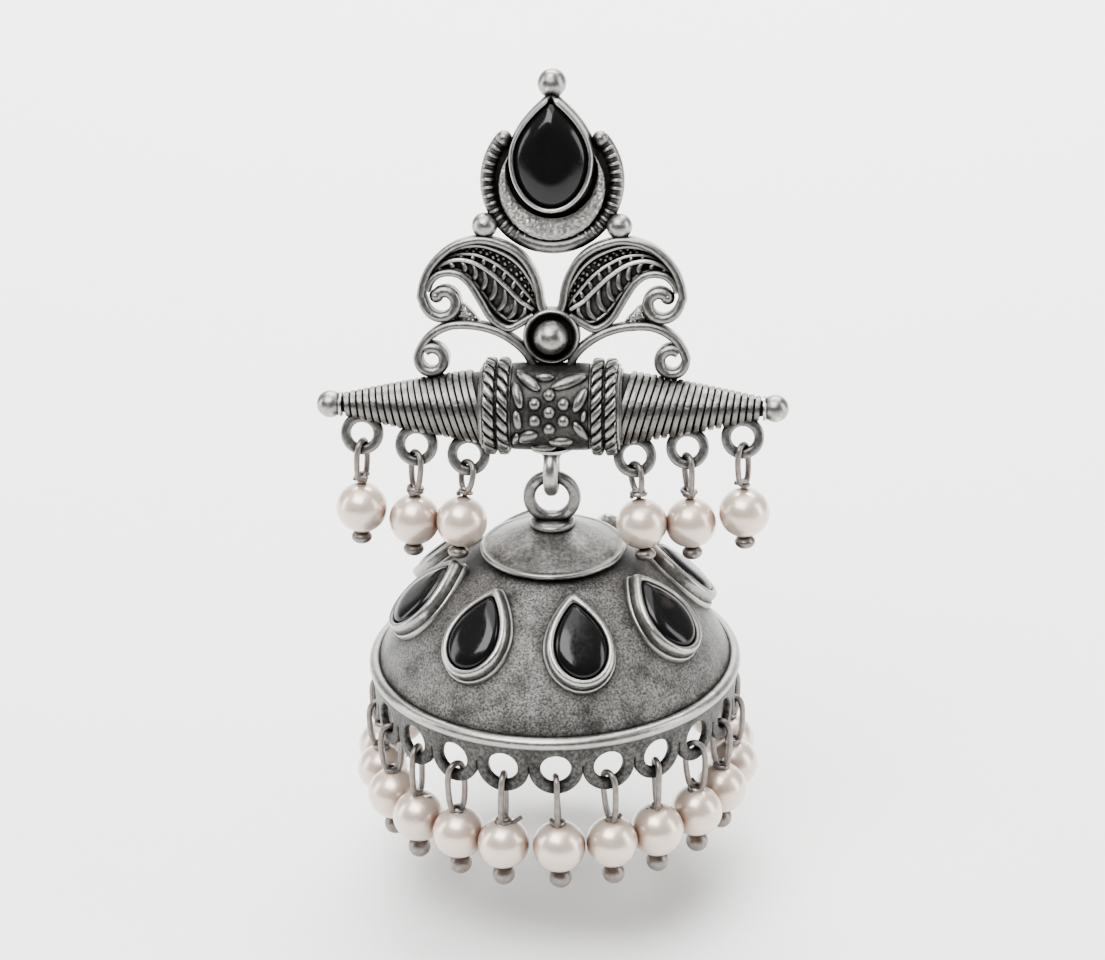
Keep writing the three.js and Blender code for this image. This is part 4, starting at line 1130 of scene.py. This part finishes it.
def build_cap():
    """The cap with its rivet below, and its trim: collar, ring and edge wire."""
    under, edge = CAP_Z - 0.42, CAP_EDGE_Z
    profile = [(0, CROWN_Z - 0.2), (1.15, CROWN_Z - 0.2), (1.15, under)]
    profile += [(r, under - (r - 1.15) / 4.4 * 1.85) for r in (2.5, 4.0, 5.2)]
    profile += [
        (5.5, edge - 0.2), (5.66, edge - 0.14), (CAP_RADIUS, edge), (5.64, edge + 0.14), (5.5, edge + 0.2),
        (5.38, edge + 0.2),
    ]
    profile += [(r, CAP_Z - 0.02 - 1.8 * ((r - 1.6) / 3.8) ** 1.12) for r in np.linspace(5.3, 1.6, 26)]
    profile += [(0, CAP_Z)]
    places, faces = turned(profile, 160)
    places[:, 2] += 0.02 * ripple(places, 2.2, 33) * (places[:, 2] > edge + 0.22)
    cap = Form().add((places, faces), PIVOT)
    foot = CROWN_Z - DOME_WALL - 0.75
    rivet = (
        (0, foot - 0.4), (1.5, foot - 0.38), (1.9, foot - 0.24), (2.0, foot - 0.1), (1.92, foot),
        (1.15, foot), (1.15, CROWN_Z), (0, CROWN_Z),
    )
    cap.add(turned(rivet, 48), PIVOT)
    dome_part("dome_cap_cone", cap, "brushed silver", sharp=50, stands_for="dome_cap")

    collar = (
        (0, CAP_Z - 0.1), (1.62, CAP_Z - 0.1), (1.72, CAP_Z + 0.02), (1.76, CAP_Z + 0.18),
        (1.72, CAP_Z + 0.34), (1.6, CAP_Z + 0.44), (1.2, COLLAR_Z + 0.02), (0, COLLAR_Z + 0.04),
    )
    trim = Form().add(turned(collar, 64), PIVOT)
    ring = circle(PIVOT + (0, 0, -DOME_RING), DOME_RING, ((1, 0, 0), (0, 0, 1)), 72)
    trim.add(sweep(ring, square_section(22, 0.48, 0.46, 0.82), closed=True, up=(0, 1, 0)))
    edge_wire = circle(PIVOT + (0, 0, edge + 0.03), 5.5, FACE_ON, 160)
    trim.add(tube(edge_wire, 0.215, 12, closed=True, up=UP_OUT))
    dome_part("dome_ring", trim, "cast silver", stands_for="dome_cap")


# Pearl drops
def eye_line(length, seed):
    """A long wire eye hanging from the origin, closed, a little uneven."""
    draw = np.random.default_rng(seed)
    half = EYE_HALF * draw.uniform(0.92, 1.02)
    straight = length - PIN_WIRE - 2 * half
    angle = np.linspace(0, TAU, 64, endpoint=False)
    x = half * np.sin(angle)
    z = half * np.cos(angle) + np.tanh(2.4 * np.cos(angle)) * straight / 2 - half - straight / 2
    low = np.clip(-z / (length - PIN_WIRE), 0, 1)
    x *= 1 - 0.28 * low**2.5
    return np.column_stack([x, 0.05 * np.sin(2 * angle), z])


def drop_wire(length, nub_z, nub, seed, tail):
    """The eye, the turns of wire round its foot, the cut end and the ball under the pearl.

    A nub under 0.7 is a small flattened head, a larger one a hollow ball with an open foot.
    """
    draw = np.random.default_rng(seed)
    form = Form()
    form.add(tube(eye_line(length, seed), PIN_WIRE / 2 * 1.04, 10, closed=True, up=(0, 1, 0)))
    foot = -(length - PIN_WIRE)
    turns = draw.uniform(1.6, 2.4)
    t = np.linspace(0, 1, 60)
    angle = turns * TAU * t + draw.uniform(0, TAU)
    radius = 0.42 + 0.14 * np.sin(3 * t + seed)
    coil = np.column_stack([radius * np.cos(angle), radius * np.sin(angle), foot + 0.42 - 0.55 * t])
    end = coil[-1] + (coil[-1] - coil[-2]) / np.linalg.norm(coil[-1] - coil[-2]) * tail + (0, 0, 0.3 * tail)
    coil = np.vstack([coil, coil[-1] * 0.5 + end * 0.5, end])
    form.add(tube(coil, 0.17, 8))
    shaft = np.column_stack([np.zeros(6), np.zeros(6), np.linspace(foot + 0.3, nub_z, 6)])
    form.add(tube(shaft, 0.2, 8, up=(0, 1, 0)))
    if nub < 0.7:
        form.add(bead((0, 0, nub_z), np.diag([nub * 1.45, nub * 1.45, nub]), 24, 14))
    else:
        opening = np.array([(0.0, -nub * 0.78), (0.13, -nub * 0.8), (0.2, -nub * 0.96)])
        polar = np.linspace(math.radians(168), 0, 22)
        ball = np.column_stack([nub * np.sin(polar), nub * np.cos(polar)])
        ball[-1, 0] = 0
        form.add(turned(np.vstack([opening, ball[1:]]), 28), (0, 0, nub_z))
    return form


def pearl_form(middle, radius, seed):
    """A pearl with its drilled ends and a little unevenness."""
    draw = np.random.default_rng(seed)
    cut = math.radians(7)
    polar = np.linspace(cut, math.pi - cut, 36)
    height = middle + radius * np.cos(polar) * draw.uniform(0.985, 1.02)
    profile = np.column_stack([radius * np.sin(polar), height])
    bore = 0.9 * radius * math.sin(cut)
    ends = [(bore, middle + 0.8 * radius), *profile.tolist(), (bore, middle - 0.8 * radius)]
    places, faces = turned(ends, 48, closed=True)
    places *= 1 + 0.006 * ripple(places, 3.0, seed)[:, None]
    return Form().add((places, faces))


def hung_at(spot, lean):
    """The world place of a drop that leans about its top."""
    return Matrix.Translation(Vector(spot * MM)) @ lean.to_matrix().to_4x4()


def build_fringe():
    """The fringe: a pearl drop in each ring of the band, each a little askew."""
    pearl_z = -(FRINGE_EYE - PIN_WIRE) - PEARL_RADIUS + 0.1
    tip_z = pearl_z - PEARL_RADIUS - 0.92 * TIP_BALL
    top_z = FRINGE_HOLE_Z - 0.9 * FRINGE_HOLE + PIN_WIRE / 2 + 0.12
    tails, swells = (0.25, 0.9, 0.5, 1.3, 0.4, 0.7), (1.05, 1.03, 1.065, 1.04)
    wires = [drop_wire(FRINGE_EYE, tip_z, TIP_BALL, 40 + k, tail) for k, tail in enumerate(tails)]
    pearls = [pearl_form(pearl_z, PEARL_RADIUS * swell, 60 + k) for k, swell in enumerate(swells)]
    draw = np.random.default_rng(4)
    for i in range(FRINGE):
        angle = math.radians(FRINGE_TURN + 360 * i / FRINGE)
        yaw = angle + math.radians(24 * math.sin(2.4 * i))
        lean = Euler((math.radians(draw.uniform(-1.6, 1.6)), math.radians(draw.uniform(-1.6, 1.6)), yaw))
        spot = PIVOT + (FRINGE_RADIUS * math.cos(angle), FRINGE_RADIUS * math.sin(angle), top_z)
        place, drop = hung_at(spot, lean), (f"fringe_drop_{i + 1}",)
        wire, pearl = wires[i % len(wires)], pearls[i % len(pearls)]
        piece(f"fringe_wire_{i + 1}", wire, "hanging_dome", "pin wire", drop, place=place)
        piece(f"fringe_pearl_{i + 1}", pearl, "hanging_dome", "pearl lustre", drop, place=place)


def build_bar_drops():
    """The six pearl drops of the bar, each leaning forward and outward by its own angle."""
    radius, gap, nub = 2.0, 0.08, 0.56
    yaws = {-1: (36, 30, -24), 1: (34, 22, -32)}
    for i, across in enumerate(BAR_RINGS):
        length = BAR_EYES[i]
        middle = -(length - PIN_WIRE / 2) - gap - radius
        nub_z = middle - radius - 0.5 - gap
        for side in (-1, 1):
            label = ("left_" if side < 0 else "right_") + str(i + 1)
            x, up, out = bar_ring_middle(across)
            spot = stand([[side * x, up - RING_HOLE - RING_BAR_WIRE / 2, out]])[0]
            spot[2] += RING_BAR_WIRE / 2 + PIN_WIRE / 2 + 0.12
            lean = Euler((-math.radians(BAR_FORWARD[i]), -side * math.radians(BAR_OUTWARD[i]), 0))
            yaw = Matrix.Rotation(math.pi / 2 + math.radians(yaws[side][i]), 4, "Z")
            place = hung_at(spot, lean) @ yaw
            seed = 80 + 2 * i + (side > 0)
            wire = drop_wire(length, nub_z + 0.12, nub, seed, 0.3 + 0.2 * i)
            pin, pearl = (f"bar_pin_{label}",), (f"bar_pearl_{label}",)
            piece(f"bar_wire_{label}", wire, "top", "pin wire", pin, place=place)
            form = pearl_form(middle, radius, seed)
            piece(f"bar_drop_pearl_{label}", form, "top", "pearl lustre", pearl, place=place)


# Studio, in metres
TARGET = (0, -0.006, -0.0226)


def light(name, place, power, wide, tall, target=TARGET):
    """A soft lamp with a rectangular face, turned to its target; its power is in watts."""
    lamp = bpy.data.lights.new(name, "AREA")
    lamp.shape = "RECTANGLE"
    lamp.size, lamp.size_y = wide, tall
    lamp.energy = power
    thing = in_scene(name, lamp)
    thing.location = place
    thing.rotation_euler = (Vector(target) - Vector(place)).to_track_quat("-Z", "Y").to_euler()


def build_floor(stage):
    """A plain pale floor that curves up behind."""
    floor_z, back, half, bend = -0.0575, 0.42, 5.0, 0.2
    rows = [(-half, floor_z), (back, floor_z)]
    for a in np.linspace(0, math.pi / 2, 16)[1:]:
        rows.append((back + bend * math.sin(a), floor_z + bend * (1 - math.cos(a))))
    rows.append((back + bend, floor_z + 1.2))
    mesh = bpy.data.meshes.new("floor")
    places = [(x, y, z) for y, z in rows for x in (-half, half)]
    mesh.from_pydata(places, [], grid(len(rows), 2, close_columns=False))
    mesh.shade_smooth()
    floor = in_scene("floor", mesh)
    made, tree, surface = finish_base("pale floor")
    tone = blend_colours(tree, grains(tree, 0.02, 2.0), stage.floor, tuple(0.985 * c for c in stage.floor))
    tree.links.new(tone, surface.inputs["Base Color"])
    surface.inputs["Roughness"].default_value = 0.9
    surface.inputs["Specular IOR Level"].default_value = 0.1
    mesh.materials.append(made)


def build_lights(stage):
    """A key light, a top light, two strips at the sides and one for the backdrop."""
    power = stage.light
    light("key", (-0.09, -0.20, 0.33), 3.4 * power, 0.30, 0.22)
    light("top", (0.03, 0.07, 0.42), 2.6 * power, 0.42, 0.42)
    light("left strip", (-0.38, -0.02, 0.06), 1.1 * power, 0.12, 0.34)
    light("right strip", (0.36, -0.06, 0.08), 1.2 * power, 0.12, 0.34)
    light("backdrop", (0.0, 0.30, 0.42), 11.0 * power, 0.5, 0.3, target=(0.0, 0.55, -0.02))


def build_surround(stage):
    """Soft light from all round, brightest above and behind and dim in front."""
    world = bpy.data.worlds.new("studio")
    bpy.context.scene.world = world
    world.use_nodes = True
    tree = world.node_tree
    where = node(tree, "TexCoord")
    toward = node(tree, "VectorMath", operation="DOT_PRODUCT")
    toward.inputs[1].default_value = (0, 0.6, 0.8)
    tree.links.new(where.outputs["Generated"], toward.inputs[0])
    height = sums(tree, "ADD", sums(tree, "MULTIPLY", toward.outputs["Value"], 0.5), 0.5)
    sky = ramp(tree, height, [(0.15, (0.05, 0.05, 0.05)), (0.5, (0.26, 0.265, 0.27)), (0.9, (1.0, 1.0, 1.0))])
    tree.links.new(sky, tree.nodes["Background"].inputs["Color"])
    tree.nodes["Background"].inputs["Strength"].default_value = stage.world


def build_camera(stage):
    """The camera, a little to the right of the front and looking down, tilted by a degree."""
    azimuth, elevation, reach, tilt = math.radians(4), math.radians(25), 0.24, math.radians(-1)
    middle = Vector((0, -0.006056, -0.022603))
    flat = math.cos(elevation)
    back_way = Vector((math.sin(azimuth) * flat, -math.cos(azimuth) * flat, math.sin(elevation)))
    lens = bpy.data.cameras.new("camera")
    lens.sensor_width = 36
    lens.lens = stage.lens
    lens.clip_start, lens.clip_end = 0.005, 10
    camera = in_scene("camera", lens)
    camera.location = middle + back_way * reach
    turn = (-back_way).to_track_quat("-Z", "Y") @ Euler((0, 0, tilt)).to_quaternion()
    camera.rotation_euler = turn.to_euler()
    bpy.context.scene.camera = camera


# Panel values
class JhumkaSizes(bpy.types.PropertyGroup):
    """Sizes of the fine metal work."""

    rib_pitch: bpy.props.FloatProperty(
        name="Rib pitch", description="From bar to bar on the stud's ring",
        default=0.635 * MM, min=0.3 * MM, precision=4, unit="LENGTH",
    )
    leaf_wire: bpy.props.FloatProperty(
        name="Leaf wire", description="Width of the leaf's edge wire",
        default=0.63 * MM, min=0.1 * MM, precision=4, unit="LENGTH",
    )
    leaf_bars: bpy.props.IntProperty(
        name="Leaf bars", description="Long bars across each leaf", default=9, min=3,
    )
    scroll_wire: bpy.props.FloatProperty(
        name="Scroll wire", description="Width of the lower scrolls",
        default=0.68 * MM, min=0.1 * MM, precision=4, unit="LENGTH",
    )
    rope_strands: bpy.props.IntProperty(
        name="Rope strands", description="Strands round each rope band", default=22, min=8,
    )
    wrap_pitch: bpy.props.FloatProperty(
        name="Wrap pitch", description="From wire to wire on the bar",
        default=0.545 * MM, min=0.2 * MM, precision=4, unit="LENGTH",
    )
    wrap_slant: bpy.props.FloatProperty(
        name="Wrap slant", description="How far each wrap leans, as a share of the bar's radius",
        default=0.32, subtype="FACTOR",
    )


class JhumkaFinishes(bpy.types.PropertyGroup):
    """Colours of the finishes."""

    silver: bpy.props.FloatVectorProperty(
        name="Silver", description="Clean metal", subtype="COLOR", default=(0.185, 0.180, 0.171),
    )
    patina: bpy.props.FloatVectorProperty(
        name="Patina", description="Metal in the recesses", subtype="COLOR", default=(0.008, 0.0075, 0.007),
    )
    stone: bpy.props.FloatVectorProperty(
        name="Stone", description="Polished stone", subtype="COLOR", default=(0.002, 0.002, 0.0022),
    )
    pearl: bpy.props.FloatVectorProperty(
        name="Pearl", description="Pearl body", subtype="COLOR", default=(0.68, 0.565, 0.475),
    )
    pearl_shade: bpy.props.FloatVectorProperty(
        name="Pearl shade", description="Pearl clouds", subtype="COLOR", default=(0.60, 0.475, 0.39),
    )
    pin: bpy.props.FloatVectorProperty(
        name="Pin wire", description="Drawn wire of the drops", subtype="COLOR", default=(0.20, 0.186, 0.176),
    )


class JhumkaStage(bpy.types.PropertyGroup):
    """The studio."""

    floor: bpy.props.FloatVectorProperty(
        name="Floor", description="Floor and backdrop", subtype="COLOR", default=(0.86, 0.86, 0.85),
    )
    light: bpy.props.FloatProperty(
        name="Light", description="Factor on the power of every light", default=1.0, min=0,
    )
    world: bpy.props.FloatProperty(
        name="Surround", description="Strength of the surround", default=0.6, min=0,
    )
    lens: bpy.props.FloatProperty(
        name="Lens", description="Focal length", default=100.0, min=10, unit="CAMERA",
    )


# Operators, one for each group of pieces
class JHUMKA_OT_stud(bpy.types.Operator):
    """Builds the stud: ring, plate, crescent, bezel, balls and stone"""

    bl_idname = "jhumka.stud"
    bl_label = "Stud"

    def execute(self, context):
        build_stud(context.scene.jhumka_sizes)
        return {"FINISHED"}


class JHUMKA_OT_post(bpy.types.Operator):
    """Builds the ear post"""

    bl_idname = "jhumka.post"
    bl_label = "Ear Post"

    def execute(self, context):
        build_post()
        return {"FINISHED"}


class JHUMKA_OT_leaves(bpy.types.Operator):
    """Builds the pair of filigree leaves"""

    bl_idname = "jhumka.leaves"
    bl_label = "Leaves"

    def execute(self, context):
        build_leaves(context.scene.jhumka_sizes)
        return {"FINISHED"}


class JHUMKA_OT_scrolls(bpy.types.Operator):
    """Builds the pair of lower scrolls"""

    bl_idname = "jhumka.scrolls"
    bl_label = "Scrolls"

    def execute(self, context):
        build_scrolls(context.scene.jhumka_sizes)
        return {"FINISHED"}


class JHUMKA_OT_cup(bpy.types.Operator):
    """Builds the cup and its ball"""

    bl_idname = "jhumka.cup"
    bl_label = "Cup"

    def execute(self, context):
        build_cup()
        return {"FINISHED"}


class JHUMKA_OT_bar(bpy.types.Operator):
    """Builds the bar with its flower, ropes, wraps and end balls"""

    bl_idname = "jhumka.bar"
    bl_label = "Spindle Bar"

    def execute(self, context):
        build_bar(context.scene.jhumka_sizes)
        return {"FINISHED"}


class JHUMKA_OT_hangers(bpy.types.Operator):
    """Builds the rings and the loop under the bar"""

    bl_idname = "jhumka.hangers"
    bl_label = "Rings and Loop"

    def execute(self, context):
        build_hangers()
        return {"FINISHED"}


class JHUMKA_OT_bar_drops(bpy.types.Operator):
    """Builds the six pearl drops of the bar"""

    bl_idname = "jhumka.bar_drops"
    bl_label = "Bar Drops"

    def execute(self, context):
        build_bar_drops()
        return {"FINISHED"}


class JHUMKA_OT_dome(bpy.types.Operator):
    """Builds the dome with its bezels, stones and rim"""

    bl_idname = "jhumka.dome"
    bl_label = "Dome"

    def execute(self, context):
        build_dome()
        return {"FINISHED"}


class JHUMKA_OT_cap(bpy.types.Operator):
    """Builds the dome's cap, collar and ring"""

    bl_idname = "jhumka.cap"
    bl_label = "Cap"

    def execute(self, context):
        build_cap()
        return {"FINISHED"}


class JHUMKA_OT_band(bpy.types.Operator):
    """Builds the scalloped band under the rim"""

    bl_idname = "jhumka.band"
    bl_label = "Band of Rings"

    def execute(self, context):
        build_band()
        return {"FINISHED"}


class JHUMKA_OT_fringe(bpy.types.Operator):
    """Builds the pearl drops of the fringe"""

    bl_idname = "jhumka.fringe"
    bl_label = "Pearl Fringe"

    def execute(self, context):
        build_fringe()
        return {"FINISHED"}


class JHUMKA_OT_studio(bpy.types.Operator):
    """Builds the floor, the lights, the surround and the camera"""

    bl_idname = "jhumka.studio"
    bl_label = "Studio"

    def execute(self, context):
        stage = context.scene.jhumka_stage
        build_floor(stage)
        build_lights(stage)
        build_surround(stage)
        build_camera(stage)
        return {"FINISHED"}


OPERATORS = (
    JHUMKA_OT_stud,
    JHUMKA_OT_post,
    JHUMKA_OT_leaves,
    JHUMKA_OT_scrolls,
    JHUMKA_OT_cup,
    JHUMKA_OT_bar,
    JHUMKA_OT_hangers,
    JHUMKA_OT_bar_drops,
    JHUMKA_OT_dome,
    JHUMKA_OT_cap,
    JHUMKA_OT_band,
    JHUMKA_OT_fringe,
    JHUMKA_OT_studio,
)


class JHUMKA_PT_panel(bpy.types.Panel):
    """Lists the earring's values and the operators that build it."""

    bl_label = "Jhumka Earring"
    bl_idname = "JHUMKA_PT_panel"
    bl_space_type = "VIEW_3D"
    bl_region_type = "UI"
    bl_category = "Jhumka"

    def draw(self, context):
        for group in GROUPS:
            values = getattr(context.scene, group)
            for name in values.__annotations__:
                self.layout.prop(values, name)
        for made in OPERATORS:
            self.layout.operator(made.bl_idname)


GROUPS = {"jhumka_sizes": JhumkaSizes, "jhumka_finishes": JhumkaFinishes, "jhumka_stage": JhumkaStage}


def register():
    """Adds the values, the operators and the panel."""
    for name, group in GROUPS.items():
        bpy.utils.register_class(group)
        setattr(bpy.types.Scene, name, bpy.props.PointerProperty(type=group))
    for made in OPERATORS:
        bpy.utils.register_class(made)
    bpy.utils.register_class(JHUMKA_PT_panel)


def unregister():
    """Takes the panel, the operators and the values away again."""
    bpy.utils.unregister_class(JHUMKA_PT_panel)
    for made in reversed(OPERATORS):
        bpy.utils.unregister_class(made)
    for name, group in GROUPS.items():
        delattr(bpy.types.Scene, name)
        bpy.utils.unregister_class(group)


def main():
    """Runs every operator in turn."""
    register()
    for made in OPERATORS:
        getattr(bpy.ops.jhumka, made.bl_idname.split(".")[1])()


if __name__ == "__main__":
    main()
